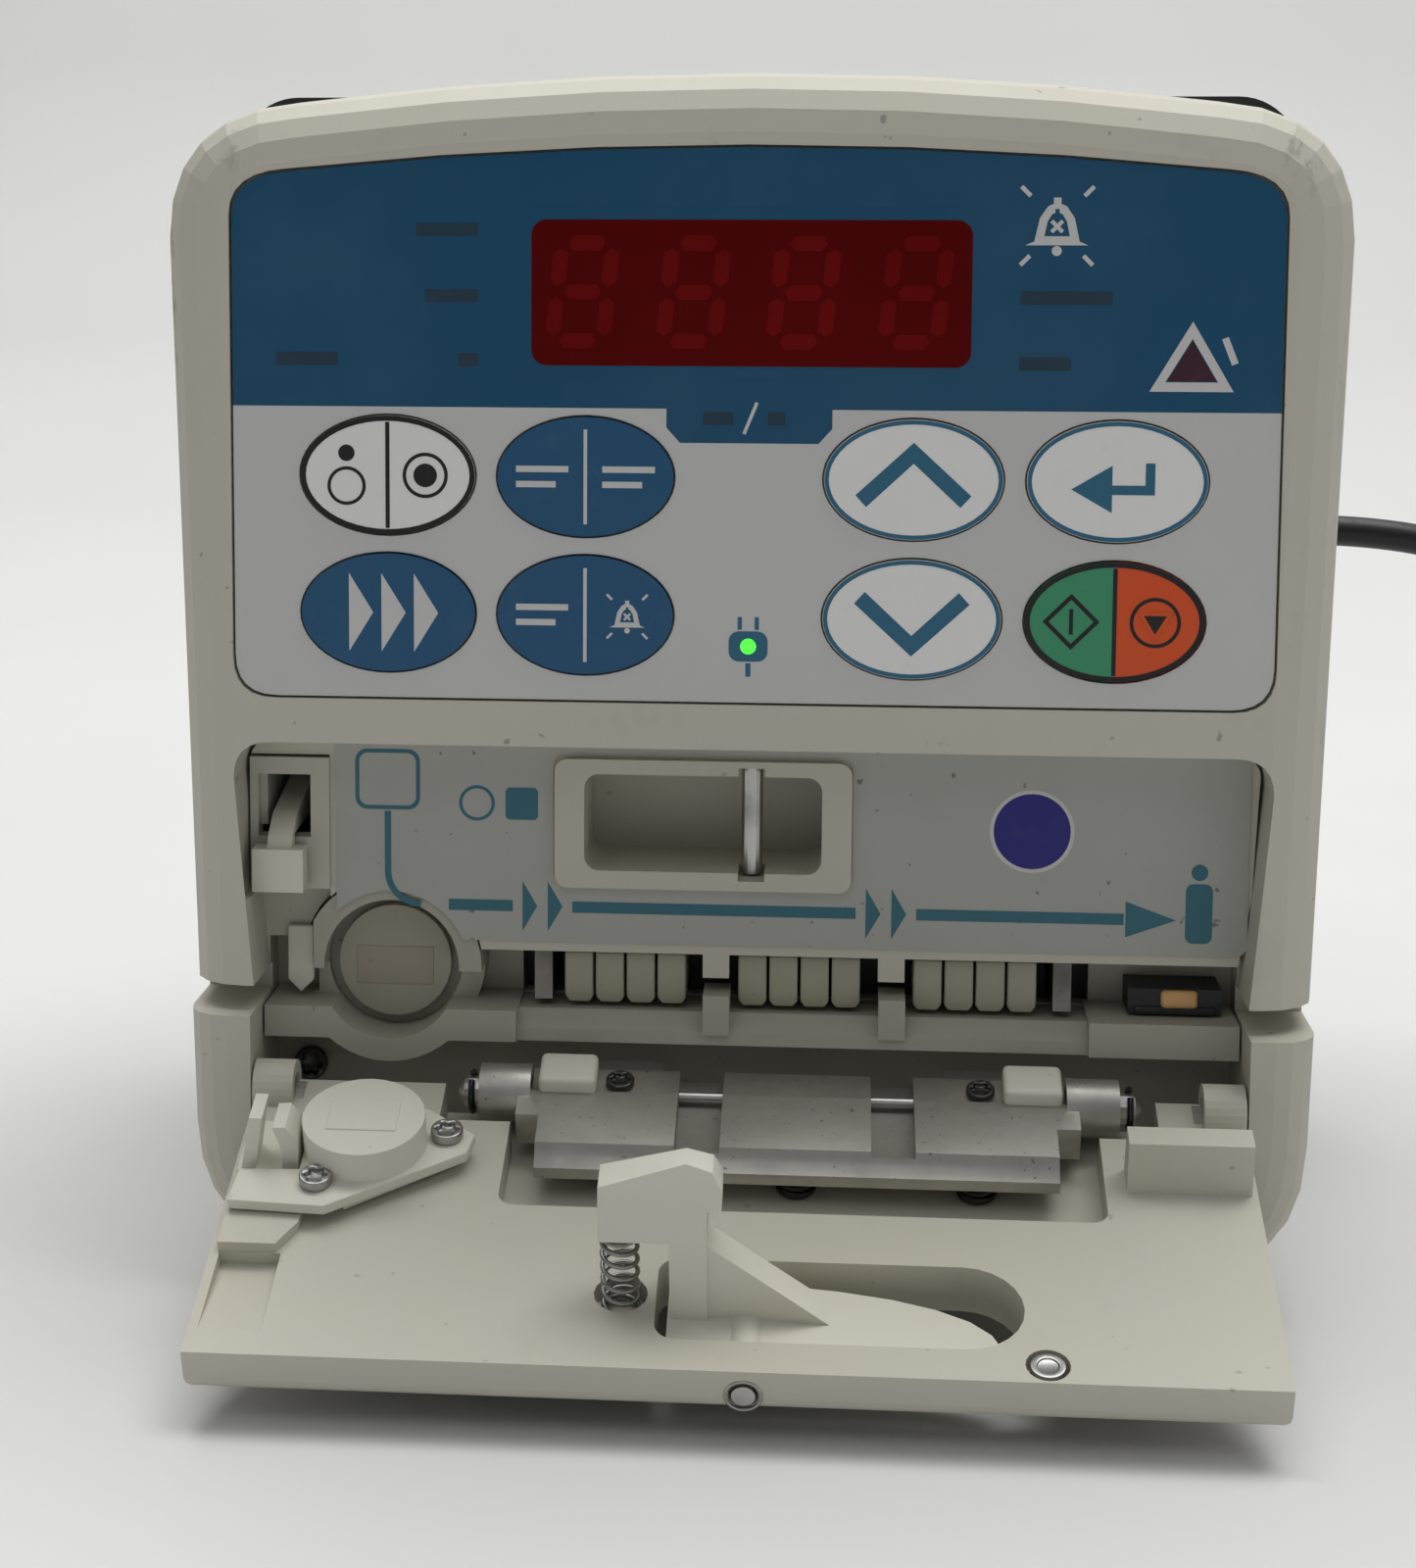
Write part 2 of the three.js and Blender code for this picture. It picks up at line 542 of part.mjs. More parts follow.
function camshaft() {
  let made = rodX(CAM.shaft, -39.5, 50.5, CAM.y, CAM.z, 16);
  const centres = [VALVES[0][1]];
  for (let i = 0; i < FINGERS; i++) centres.push(fingerX(i) + FINGER.width / 2);
  centres.push(VALVES[1][1]);
  centres.forEach((x, i) => {
    const turn = (2 * Math.PI * i) / centres.length;
    const y = CAM.y + CAM.offset * Math.cos(turn);
    const z = CAM.z + CAM.offset * Math.sin(turn);
    const half = i === 0 || i === centres.length - 1 ? 1 : CAM.width / 2;
    made = made.add(rodX(CAM.r, x - half, x + half, y, z, 14));
  });
  return made;
}
add(PUMP, "camshaft", camshaft(), STEEL);
const MOTOR = rodX(9.5, -62.5, -40, CAM.y + 8, CAM.z, 24)
  .subtract(rodX(3.2, -45, -39, CAM.y, CAM.z, 16));
add(PUMP, "motor", MOTOR, [0x2c2d30, 0.4]);

// ---- Door ----
function doorPanel() {
  const { half, top, rear, inner, thick, edge } = DOOR;
  const outer = inner - thick;
  // two crossed sections: upright edges at the inner face, rounded off towards the outer face
  const round = (from, sign) => {
    const points = [];
    for (let i = 0; i <= 5; i++) {
      const a = (i * Math.PI) / 10;
      points.push([from + sign * edge * (Math.sin(a) - 1), outer + edge * 0.8 * (1 - Math.cos(a))]);
    }
    return sign > 0 ? points : points.reverse();
  };
  const across = [...round(-half, -1), ...round(half, 1), [half, inner], [-half, inner]];
  const along = [
    [outer, rear], ...round(top, 1).map(([z, y]) => [y, z]), [inner, top], [inner, rear],
  ];
  let made = columnOf(across, rear, top).intersect(barOf(along, -half, half));
  // hinge lugs
  for (const side of [-1, 1]) {
    const x0 = Math.min(side * half, side * (half - HINGE.lugWidth));
    made = made.add(rodX(HINGE.lug, x0, x0 + HINGE.lugWidth, HINGE.y, HINGE.z, 24));
    made = made.add(block(x0, x0 + HINGE.lugWidth, inner - 2, HINGE.y, HINGE.z, HINGE.z + HINGE.lug));
  }
  // ledge that shuts over the air sensor
  const shelf = [
    [inner - 1, 22.5], [inner - 1, 26.9], [inner + 6.4, 26.1], [inner + 6.4, 22.9],
  ];
  made = made.add(barOf(shelf, 44.3, 58.4));
  // ledge below the boss's flange, sloping down on its right
  const slope = [[-58.2, 30], [-58.2, 41.9], [-51.6, 41.9], [-49.6, 38], [-49.6, 30]];
  made = made.add(plateOf(slope, inner - 1, inner + BOSS.ledge));
  // platen pocket, wider where the shaft's ends lie
  const floor = inner - POCKET.deep;
  made = made.subtract(slab(roundedRect(POCKET.left, POCKET.right, rear - 20, POCKET.front, 2), floor, 20));
  const { wideLeft, wideRight, wideFront } = POCKET;
  made = made.subtract(block(wideLeft, wideRight, floor, 20, rear - 5, wideFront));
  // sloping relief for the clamp lever, open at the panel's side
  const relief = [
    [inner + 1, 42], [inner - 1.6, 42], [inner - 1.6, 43], [inner, 54.8], [inner + 1, 56],
  ];
  made = made.subtract(barOf(relief, -58, -51));
  // slot of the latch lever, with its pivot bore
  made = made.subtract(slab(latchSlot(0), outer - 1, 20));
  made = made.subtract(rodZ(HINGE.r + 0.2, LATCH.slotLow - 4, top + 1, LATCH.x, LATCH.y, 16));
  // seats of the magnet, the latch spring and the hinge pins
  made = made.subtract(rodY(MAGNET.r + GAP, inner - 2, 20, MAGNET.x, MAGNET.z, 20));
  made = made.subtract(rodY(3, inner - 2.5, 20, HEAD.left + 2.2, 46.8, 16));
  const bore = HINGE.lugWidth + 1;
  made = made.subtract(rodX(HINGE.r + GAP, -half - 1, -half + bore, HINGE.y, HINGE.z, 16));
  return made.subtract(rodX(HINGE.r + GAP, half - bore, half + 1, HINGE.y, HINGE.z, 16));
}
// The slot seen from the bay: a small round at its left end, a full round at its right.
function latchSlot(inset) {
  const x0 = LATCH.slotLeft + inset;
  const x1 = LATCH.slotRight - inset;
  const z0 = LATCH.slotLow + inset;
  const z1 = LATCH.slotTop - inset;
  const r = (z1 - z0) / 2;
  const s = new THREE.Shape();
  s.moveTo(x0 + 2.5, z0);
  s.lineTo(x1 - r, z0);
  s.absarc(x1 - r, z0 + r, r, -Math.PI / 2, Math.PI / 2, false);
  s.lineTo(x0 + 2.5, z1);
  s.absarc(x0 + 2.5, z1 - 2.5, 2.5, Math.PI / 2, Math.PI, false);
  s.lineTo(x0, z0 + 2.5);
  s.absarc(x0 + 2.5, z0 + 2.5, 2.5, Math.PI, 1.5 * Math.PI, false);
  return s;
}
add(SHUT, "door_panel", doorPanel(), CASE_GREY);

for (const [name, side] of [["hinge_pin_left", -1], ["hinge_pin_right", 1]]) {
  const near = side * (DOOR.half - HINGE.lugWidth + 0.4);
  const far = side * (CHEEK.inner + HINGE.reach);
  add(SHUT, name, rodX(HINGE.r, Math.min(near, far), Math.max(near, far), HINGE.y, HINGE.z, 16), STEEL);
}

// ---- Platen on its shaft ----
function platen() {
  const { left, right, front, rear, face, strip, under, notch } = PLATEN;
  const inner = DOOR.inner;
  const section = [
    [inner + under, rear], [inner + strip - 0.5, rear], [inner + strip, rear + 0.8],
    [inner + strip, 13.3], [inner + face, 13.7], [inner + face, front - 1.4],
    [inner + face - 1.3, front - 0.5], [inner + 0.3, front + 0.9],
    [inner - 1.2, front + 0.9], [inner + under, front - 1],
  ];
  let made = barOf(section, left, right);
  made = made.subtract(block(left - 1, left + 2.8, -20, 20, notch, 40));
  made = made.subtract(block(right - 2.8, right + 1, -20, 20, notch, 40));
  for (const [x0, x1] of PLATEN_GAPS) {
    made = made.subtract(block(x0, x1, inner - 0.4, 20, rear - 1, front - 1));
  }
  // rear flanges that carry the wear pads
  for (const [x0, x1] of [[left + 0.5, -10], [24, right - 0.5]]) {
    made = made.add(block(x0, x1, inner - 1.4, inner + 0.6, 5.2, rear + 1));
  }
  // bosses at both ends, bored for the shaft; its slim core runs through between them
  for (const [x0, x1] of [[left - 4.8, left + 1.4], [right - 1.4, right + 4.8]]) {
    made = made.add(rodX(SHAFT.boss, x0, x1, HINGE.y, HINGE.z, 24));
    const open = x0 < 0 ? [x0 - 1, x1] : [x0, x1 + 1];
    made = made.subtract(rodX(SHAFT.r + GAP, ...open, HINGE.y, HINGE.z, 20));
  }
  return made.subtract(rodX(SHAFT.core + GAP, -60, 60, HINGE.y, HINGE.z, 12));
}
add(SHUT, "platen", platen(), [0x8d8e8f, 0.45, 1]);
function shaft() {
  const { r, left, right } = SHAFT;
  const profile = [new THREE.Vector2(0, left)];
  for (let i = 1; i <= 4; i++) {
    const a = (i * Math.PI) / 8;
    profile.push(new THREE.Vector2(r * Math.sin(a), left + r * (1 - Math.cos(a)) * 0.7));
  }
  for (let i = 4; i >= 1; i--) {
    const a = (i * Math.PI) / 8;
    profile.push(new THREE.Vector2(r * Math.sin(a), right - r * (1 - Math.cos(a)) * 0.7));
  }
  profile.push(new THREE.Vector2(0, right));
  const turned = new THREE.LatheGeometry(profile, 16);
  turned.rotateZ(-Math.PI / 2);
  turned.translate(0, HINGE.y, HINGE.z);
  // turned down between the platen's bosses
  const from = PLATEN.left + 0.6;
  const to = PLATEN.right - 0.6;
  const waist = rodX(2 * r, from, to, HINGE.y, HINGE.z, 12)
    .subtract(rodX(SHAFT.core, from - 1, to + 1, HINGE.y, HINGE.z, 12));
  return solid(turned).subtract(waist);
}
add(SHUT, "platen_shaft", shaft(), STEEL);
PLATEN_SPRING.xs.forEach((x, i) => {
  const low = DOOR.inner - POCKET.deep + GAP;
  add(SHUT, `platen_spring_${i + 1}`,
    rodY(PLATEN_SPRING.r, low, DOOR.inner + PLATEN.under - GAP, x, PLATEN_SPRING.z, 16), STEEL);
});

// ---- Pressure boss and tube clip ----
function pressureBoss() {
  const foot = DOOR.inner + BOSS.ledge + GAP;
  const flange = plateOf([
    [-58, 36.5], [-46.8, 37.1], [-31.6, 26.8], [-31, 23.4],
    [-37, 18.8], [-50.4, 18.8], [-50.6, 30.6], [-57.6, 30.9],
  ], foot, foot + BOSS.flange);
  const pillar = [[-48.6, 28], [-45, 34.6], [-33, 26], [-35, 20], [-48.6, 20]];
  const stand = plateOf(pillar, DOOR.inner + GAP, foot + 1);
  return flange.add(stand).add(rodY(BOSS.r, foot, DOOR.inner + BOSS.high, BOSS.x, BOSS.z, 32));
}
add(SHUT, "pressure_boss", pressureBoss(), IVORY);
function tubeClip() {
  const foot = DOOR.inner + GAP;
  const left = [[-58, foot], [-56.3, foot], [-54.8, foot + 8.6], [-56.3, foot + 8.6]];
  const right = [
    [-53, foot], [-51, foot], [-50.9, foot + 5.6],
    [-52.2, foot + 7.4], [-53.7, foot + 7.3], [-52.8, foot + 4],
  ];
  return block(-58.2, -50.9, foot, foot + 1.4, 20.4, 29.6)
    .add(columnOf(left, 24.6, 29.3)).add(columnOf(right, 24.6, 29.3));
}
add(SHUT, "tube_clip", tubeClip(), IVORY);

// ---- Latch lever: hook, stem and paddle on one pivot ----
function doorLatch() {
  const inner = DOOR.inner;
  const outer = inner - DOOR.thick;
  const { left, right, low, top, under, over, high } = HEAD;
  const stemLeft = -6.8;
  const stemRight = -2.7;
  let made = columnOf([
    [left, inner + under], [stemLeft, inner + under], [stemLeft, inner - 4.4], [stemRight, inner - 4.4],
    [stemRight, inner + over], [right, inner + over],
    [right, inner + high - 2.6], [right - 1, inner + high - 0.8],
    [-5, inner + high], [left, inner + high - 2.6],
  ], low, top).intersect(rodX(HEAD.sweep, left - 1, right + 1, HINGE.y, HINGE.z, 128));
  const web = [[-3.4, inner + 9], [11, inner - 2.2], [11, inner - 4], [-3.4, inner - 4]];
  made = made.add(columnOf(web, low + 1.4, top - 0.6));
  // the paddle narrows to the right in the slot and slopes down towards the hand
  const tip = LATCH.slotRight - 2.4;
  const blade = new THREE.Shape();
  blade.moveTo(LATCH.slotLeft + 1.3, LATCH.slotTop - 0.7);
  blade.lineTo(tip - 3, LATCH.slotTop - 0.7);
  blade.quadraticCurveTo(tip, LATCH.slotTop - 1, tip, LATCH.slotTop - 3);
  blade.bezierCurveTo(tip - 1, 46, 20, 43, 4, 42.6);
  blade.lineTo(LATCH.slotLeft + 1.3, 42.6);
  const taper = [[-20, outer + 0.5], [40, outer + 0.2], [40, inner - 3], [-20, inner - 0.7]];
  made = made.add(slab(blade, outer - 1, inner + 1).intersect(columnOf(taper, 30, 60)));
  made = made.add(rodZ(2.4, LATCH.slotLow + 0.6, LATCH.slotTop - 0.6, LATCH.x, LATCH.y, 20));
  made = made.subtract(block(-30, LATCH.slotLeft + 0.8, outer - 1, inner + 2, 30, 60));
  return made.subtract(rodZ(PIN.r + GAP, 30, 70, LATCH.x, LATCH.y, 16));
}
add(SHUT, "door_latch", doorLatch(), IVORY);
add(SHUT, "latch_pivot",
  rodZ(PIN.r, LATCH.slotLow - 3.5, DOOR.top + 0.1, LATCH.x, LATCH.y, 16), STEEL);
add(SHUT, "latch_spring",
  rodY(2.3, DOOR.inner - 2.2, DOOR.inner + HEAD.under - GAP, HEAD.left + 2.2, 46.8, 16), STEEL);

// ---- Mains lead ----
function mainsInlet() {
  const { x, z, w, h } = INLET;
  const back = REAR.depth;
  return block(x - w, x + w, back - 8, back, z - h, z + h)
    .subtract(block(x - 10, x + 10, back - 6, back + 1, z - 6, z + 6));
}
add(PUMP, "mains_inlet", mainsInlet(), BLACK);
function cordConnector() {
  const relief = new THREE.LatheGeometry(
    [[0, 0], [4.6, 0], [4.4, 6], [3.3, 14], [2.9, 23], [0, 23]].map(([r, y]) => new THREE.Vector2(r, y)), 16);
  relief.rotateZ(-Math.PI / 2);
  relief.translate(CORD.exit - 23, CORD.y, CORD.z);
  const { x, z } = INLET;
  const back = REAR.depth;
  return block(x - 9.5, x + 9.5, back - 5.5, back + 4, z - 5.5, z + 5.5)
    .add(block(x - 9.5, CORD.exit - 22, back + 3, CORD.y + 6, CORD.z - 6.5, CORD.z + 6.5))
    .add(solid(relief));
}
add(LEAD, "cord_connector", cordConnector(), BLACK);

// The lead leaves level, falls on its coil and winds down through it; the coil stands on the same surface.
const TOP = FLOOR + CORD.r + (COIL.layers - 1) * COIL.pitch; // centre height of the coil's top layer
const OUTER = COIL.mean + COIL.pitch; // radius of its outermost turn
const COIL_Y = CORD.y - OUTER;
const ROUTE = [
  [79.3, 108, 70.5], [84, 108, 70.4], [89, 108, 70.2], [94, 108, 69.7], [99.5, 108, 68.9],
  [105.5, 108, 67.1], [111, 108, 64.2], [115.8, 108, 60.2], [119.6, 108, 55.1], [122.4, 108, 49.2],
  [124.4, 108, 42.6], [125.8, 108, 35.8], [127, 108, 29], [128.6, 108, 22.3], [131, 108, 16.2],
  [134.4, 108, 10.9], [138.6, 108, 6.9], [143, 108, 4.3], [147, 108, 3.05],
];
function cordTube() {
  const route = ROUTE.map((point) => new THREE.Vector3(...point));
  const curve = new THREE.CatmullRomCurve3(route, false, "centripetal");
  const ring = new THREE.Shape();
  ring.absarc(0, 0, CORD.r, 0, 2 * Math.PI, false);
  return new THREE.ExtrudeGeometry(ring, { steps: 30, curveSegments: 10, extrudePath: curve });
}
add(LEAD, "mains_cord", cordTube(), BLACK);

function coilRing() {
  const inner = COIL.mean - ((COIL.across - 1) / 2) * COIL.pitch - CORD.r;
  const outer = OUTER + CORD.r;
  const high = TOP + CORD.r - FLOOR;
  const ease = 1;
  const section = [
    [inner, ease], [inner + ease, 0], [outer - ease, 0], [outer, ease],
    [outer, high - ease], [outer - ease, high], [inner + ease, high], [inner, high - ease], [inner, ease],
  ];
  const ring = new THREE.LatheGeometry(section.map(([r, z]) => new THREE.Vector2(r, z)), 40);
  ring.rotateX(Math.PI / 2);
  ring.translate(COIL.x, COIL_Y, FLOOR);
  return ring;
}
add(LEAD, "cord_coil", coilRing(), BLACK);

// The plug lies beside the coil, where the lowest turn leaves it a quarter turn on.
const PLUG = { x: COIL.x + OUTER, end: 42, half: 13, high: 25 };
function mainsPlug() {
  const clear = Math.sqrt((OUTER + CORD.r) ** 2 - (OUTER - CORD.r) ** 2) + 2 * GAP;
  const start = COIL_Y - clear;
  const mid = FLOOR + PLUG.high / 2;
  const low = FLOOR + CORD.r;
  const neck = new THREE.CylinderGeometry(CORD.r + 1.8, CORD.r + 0.3, 22, 16);
  neck.rotateX(Math.PI);
  neck.translate(PLUG.x, start - 11, low + 2);
  const back = start - 21; // where the plug's body begins
  const front = back - PLUG.end;
  const outline = roundedRect(PLUG.x - PLUG.half, PLUG.x + PLUG.half, FLOOR, FLOOR + PLUG.high, 5);
  let made = solid(neck).add(slab(outline, front, back, 2));
  for (const side of [-1, 1]) {
    made = made.add(rodY(2.4, front - 18, front + 1, PLUG.x + side * 9.5, mid, 12));
  }
  return made.subtract(block(-300, 300, -300, 300, FLOOR - 20, FLOOR));
}
add(LEAD, "mains_plug", mainsPlug(), BLACK);

// ---- Pole clamp behind ----
const POLE = { x: -4, y: REAR.depth + GAP + CLAMP.plate + 14, r: 12.5 };
function poleClamp() {
  const { x, z0, z1, plate, reach } = CLAMP;
  const near = REAR.depth + GAP;
  const far = near + reach;
  const jaw = POLE.x - POLE.r - 1;
  return columnOf([
    [-x, near], [x, near], [x, far], [x - 9, far], [x - 9, near + plate], [jaw, near + plate],
    [jaw, POLE.y - 7], [jaw - 5, POLE.y], [jaw, POLE.y + 7], [jaw, far], [-x, far],
  ], z0, z1).subtract(rodX(CLAMP.screw + RUN, x - 12, x + 2, POLE.y, (z0 + z1) / 2, 20));
}
add(PUMP, "pole_clamp", poleClamp(), [0x232427, 0.5]);
function clampScrew() {
  const { x, z0, z1, screw } = CLAMP;
  const mid = (z0 + z1) / 2;
  let knob = rodX(11, x + 5, x + 17, POLE.y, mid, 32);
  for (let i = 0; i < 8; i++) {
    const a = (2 * Math.PI * i) / 8;
    const y = POLE.y + 12 * Math.cos(a);
    knob = knob.subtract(rodX(2.4, x + 4, x + 18, y, mid + 12 * Math.sin(a), 10));
  }
  return knob.add(rodX(screw, POLE.x + POLE.r + 2, x + 6, POLE.y, mid, 20))
    .add(rodX(6, POLE.x + POLE.r, POLE.x + POLE.r + 3, POLE.y, mid, 20));
}
add(PUMP, "clamp_screw", clampScrew(), BLACK);

// The model stands on z = 0 with the pump's middle, its lead aside, over the origin.
MODEL.updateMatrixWorld(true);
const around = new THREE.Box3().setFromObject(PUMP);
for (const part of [PUMP, LEAD]) {
  part.position.y = -(around.min.y + around.max.y) / 2;
}

export default MODEL;
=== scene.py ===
# Volumetric infusion pump with its front door hanging open, as it stands on a table for service.
# Metres, Z up, the keypad faces -Y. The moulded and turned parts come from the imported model, which
# is the frame; this file gives them their finishes and adds the small fittings, labels and icons.
import math

import bmesh
import bpy
from mathutils import Euler, Matrix, Vector


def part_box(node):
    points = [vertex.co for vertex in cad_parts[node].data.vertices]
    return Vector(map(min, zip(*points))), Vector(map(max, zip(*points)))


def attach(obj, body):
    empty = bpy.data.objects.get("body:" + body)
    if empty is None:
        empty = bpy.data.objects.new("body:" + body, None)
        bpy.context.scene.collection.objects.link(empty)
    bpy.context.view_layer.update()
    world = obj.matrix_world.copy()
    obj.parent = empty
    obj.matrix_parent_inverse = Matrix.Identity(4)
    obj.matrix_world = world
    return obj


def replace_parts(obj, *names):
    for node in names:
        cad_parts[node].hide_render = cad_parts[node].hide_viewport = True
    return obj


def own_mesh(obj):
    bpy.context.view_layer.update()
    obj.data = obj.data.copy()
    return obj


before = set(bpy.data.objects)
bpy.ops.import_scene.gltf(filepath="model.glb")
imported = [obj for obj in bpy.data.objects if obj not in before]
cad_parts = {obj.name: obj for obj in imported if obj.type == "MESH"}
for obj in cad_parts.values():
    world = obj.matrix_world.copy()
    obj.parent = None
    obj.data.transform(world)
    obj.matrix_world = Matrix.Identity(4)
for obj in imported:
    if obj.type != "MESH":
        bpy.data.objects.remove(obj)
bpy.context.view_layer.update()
bpy.ops.object.select_all(action="DESELECT")
scene = bpy.context.scene

# ---- Camera ----
# The pump's own frame has its zero in the keypad's face, on the middle plane, 60.1 mm below the
# keypad's lower edge. at() turns millimetres in that frame into a place in the model.
keypad_low, keypad_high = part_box("keypad_overlay")
PUMP_ZERO = Vector((0, keypad_low.y - 0.0001, keypad_low.z - 0.0601))


def at(x, y, z):
    return PUMP_ZERO + Vector((x, y, z)) / 1000


CAMERA_PLACE = (10.1, -345, 116.5)
CAMERA_YAW, CAMERA_DIP, CAMERA_ROLL = 5.01, 6.41, 0.13
camera_data = bpy.data.cameras.new("camera")
camera_data.sensor_width = 36
camera_data.lens = 67.75
camera_data.shift_x = 0.0834
camera_data.shift_y = -0.1469
camera_data.clip_start = 0.01
camera = bpy.data.objects.new("camera", camera_data)
camera.location = at(*CAMERA_PLACE)
aim = Euler((math.radians(90 - CAMERA_DIP), 0, math.radians(CAMERA_YAW)), "XYZ").to_matrix()
roll = Matrix.Rotation(math.radians(CAMERA_ROLL), 3, "Z")
camera.matrix_world = Matrix.Translation(camera.location) @ (aim @ roll).to_4x4()
scene.collection.objects.link(camera)
scene.camera = camera

# ---- Mains lead ----
# A black PVC-sheathed lead, 4.6 mm across and 2.08 m long, from the connector behind the casing. It
# falls to its coil, which is wound in four layers of three turns, and ends in its moulded plug.
LEAD_RADIUS = 0.0023
COIL_CENTRE = (164, 77.95)
COIL_PITCH = 4.75
COIL_RADII = (30.05, 25.3, 20.55)
LEAD_LOW = -13.5 + 2.3
LEAD_ROUTE = [
    (79.3, 108, 70.5), (84, 108, 70.4), (89, 108, 70.2), (94, 108, 69.7), (99.5, 108, 68.9),
    (105.5, 108, 67.1), (111, 108, 64.2), (115.8, 108, 60.2), (119.6, 108, 55.1), (122.4, 108, 49.2),
    (124.4, 108, 42.6), (125.8, 108, 35.8), (127, 108, 29), (128.6, 108, 22.3), (131, 108, 16.2),
    (134.4, 108, 10.9), (138.6, 108, 6.9), (143, 108, 4.3), (147, 108, 3.05), (155, 108, 3.05),
]


def coil_points():
    """The wound turns, from the top layer's outer turn down to the lowest layer's, clockwise."""
    steps = 24
    order = [(layer, ring) for layer in (3, 2, 1, 0)
             for ring in (COIL_RADII if layer % 2 else COIL_RADII[::-1])]
    for turn, (layer, radius) in enumerate(order):
        height = LEAD_LOW + layer * COIL_PITCH
        after = order[min(turn + 1, len(order) - 1)]
        for step in range(steps):
            ease = max(0, (step - steps + 6) / 6)
            r = radius + (after[1] - radius) * ease
            z = height + (after[0] - layer) * COIL_PITCH * ease
            angle = math.pi / 2 - 2 * math.pi * step / steps
            yield (COIL_CENTRE[0] + r * math.cos(angle), COIL_CENTRE[1] + r * math.sin(angle), z)
    for step in range(steps // 4 + 1):
        angle = math.pi / 2 - 2 * math.pi * step / steps
        yield (COIL_CENTRE[0] + radius * math.cos(angle), COIL_CENTRE[1] + radius * math.sin(angle),
               LEAD_LOW)
    for y in (6, 12, 16.5):
        yield (COIL_CENTRE[0] + radius, COIL_CENTRE[1] - y, LEAD_LOW)


lead_curve = bpy.data.curves.new("mains_lead", "CURVE")
lead_curve.dimensions = "3D"
lead_curve.bevel_depth = 1  # each point's own radius gives the thickness
lead_curve.bevel_resolution = 4
lead_curve.use_fill_caps = True
lead_curve.resolution_u = 3
lead_points = [at(*point) for point in LEAD_ROUTE + list(coil_points())]
lead_spline = lead_curve.splines.new("NURBS")
lead_spline.points.add(len(lead_points) - 1)
for place, point in zip(lead_spline.points, lead_points):
    place.co = (*point, 1)
    place.radius = LEAD_RADIUS
lead_spline.order_u = 4
lead_spline.use_endpoint_u = True
mains_lead = bpy.data.objects.new("mains_lead", lead_curve)
scene.collection.objects.link(mains_lead)
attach(mains_lead, "pump")
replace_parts(mains_lead, "mains_cord", "cord_coil")

# ---- Table, wall and light ----
# A plain pale floor that rolls up into the wall behind, a weak window-like light in front, a broad
# one overhead and a soft fill from the right.
sweep = [(-1.6, 0), (0.55, 0), (0.72, 0.02), (0.84, 0.08), (0.9, 0.2), (0.92, 0.4), (0.92, 1.6)]
floor_mesh = bpy.data.meshes.new("floor")
floor_mesh.from_pydata([(x, y, z) for y, z in sweep for x in (-2, 2)], [],
                       [(i, i + 1, i + 3, i + 2) for i in range(0, 2 * len(sweep) - 2, 2)])
floor = bpy.data.objects.new("floor", floor_mesh)
scene.collection.objects.link(floor)
bpy.context.view_layer.objects.active = floor
floor.select_set(True)
bpy.ops.object.shade_smooth()
floor.select_set(False)


def soft_light(name, place, size, watts, tint):
    data = bpy.data.lights.new(name, "AREA")
    data.shape = "RECTANGLE"
    data.size, data.size_y = size
    data.energy = watts
    data.color = tint
    lamp = bpy.data.objects.new(name, data)
    lamp.location = Vector(place)
    toward = Vector((0, 0, 0.05)) - lamp.location
    lamp.rotation_euler = toward.to_track_quat("-Z", "Y").to_euler()
    scene.collection.objects.link(lamp)


soft_light("window", (-0.25, -0.75, 1.1), (1.2, 0.8), 1.8, (1, 0.99, 0.97))
soft_light("ceiling", (0.1, 0.25, 1.3), (1.6, 1.0), 21, (1, 0.995, 0.98))
soft_light("fill", (0.9, -0.5, 0.5), (0.7, 0.9), 0.4, (1, 1, 1))
world = bpy.data.worlds.new("room")
world.use_nodes = True
world.node_tree.nodes["Background"].inputs["Color"].default_value = (0.9, 0.93, 1, 1)
world.node_tree.nodes["Background"].inputs["Strength"].default_value = 0.17
scene.world = world
scene.view_settings.view_transform = "Standard"

# ---- Moulded casing, bay and door ----
# Warm light-grey ABS with a fine spark-eroded grain. Handling has left faint grey smudges, a few
# dark specks, and rubbed, darkened patches along the edges that knock against other equipment.


class Wire:
    """A node's output, so that shader maths reads as arithmetic."""

    def __init__(self, make, socket):
        self.make, self.socket = make, socket

    def maths(self, kind, other=None, flip=False):
        a, b = (other, self) if flip else (self, other)
        return self.make.node("Math", {"operation": kind}, a, *([] if b is None else [b]))

    def __add__(self, other):
        return self.maths("ADD", other)

    def __radd__(self, other):
        return self.maths("ADD", other, True)

    def __sub__(self, other):
        return self.maths("SUBTRACT", other)

    def __rsub__(self, other):
        return self.maths("SUBTRACT", other, True)

    def __mul__(self, other):
        return self.maths("MULTIPLY", other)

    def __rmul__(self, other):
        return self.maths("MULTIPLY", other, True)

    def __gt__(self, other):
        return self.maths("GREATER_THAN", other)

    def __lt__(self, other):
        return self.maths("LESS_THAN", other)

    def __abs__(self):
        return self.maths("ABSOLUTE")

    def within(self, low, high):
        """0 below low, 1 above high, eased between."""
        return self.make.node("MapRange", {"interpolation_type": "SMOOTHSTEP"}, self, low, high)


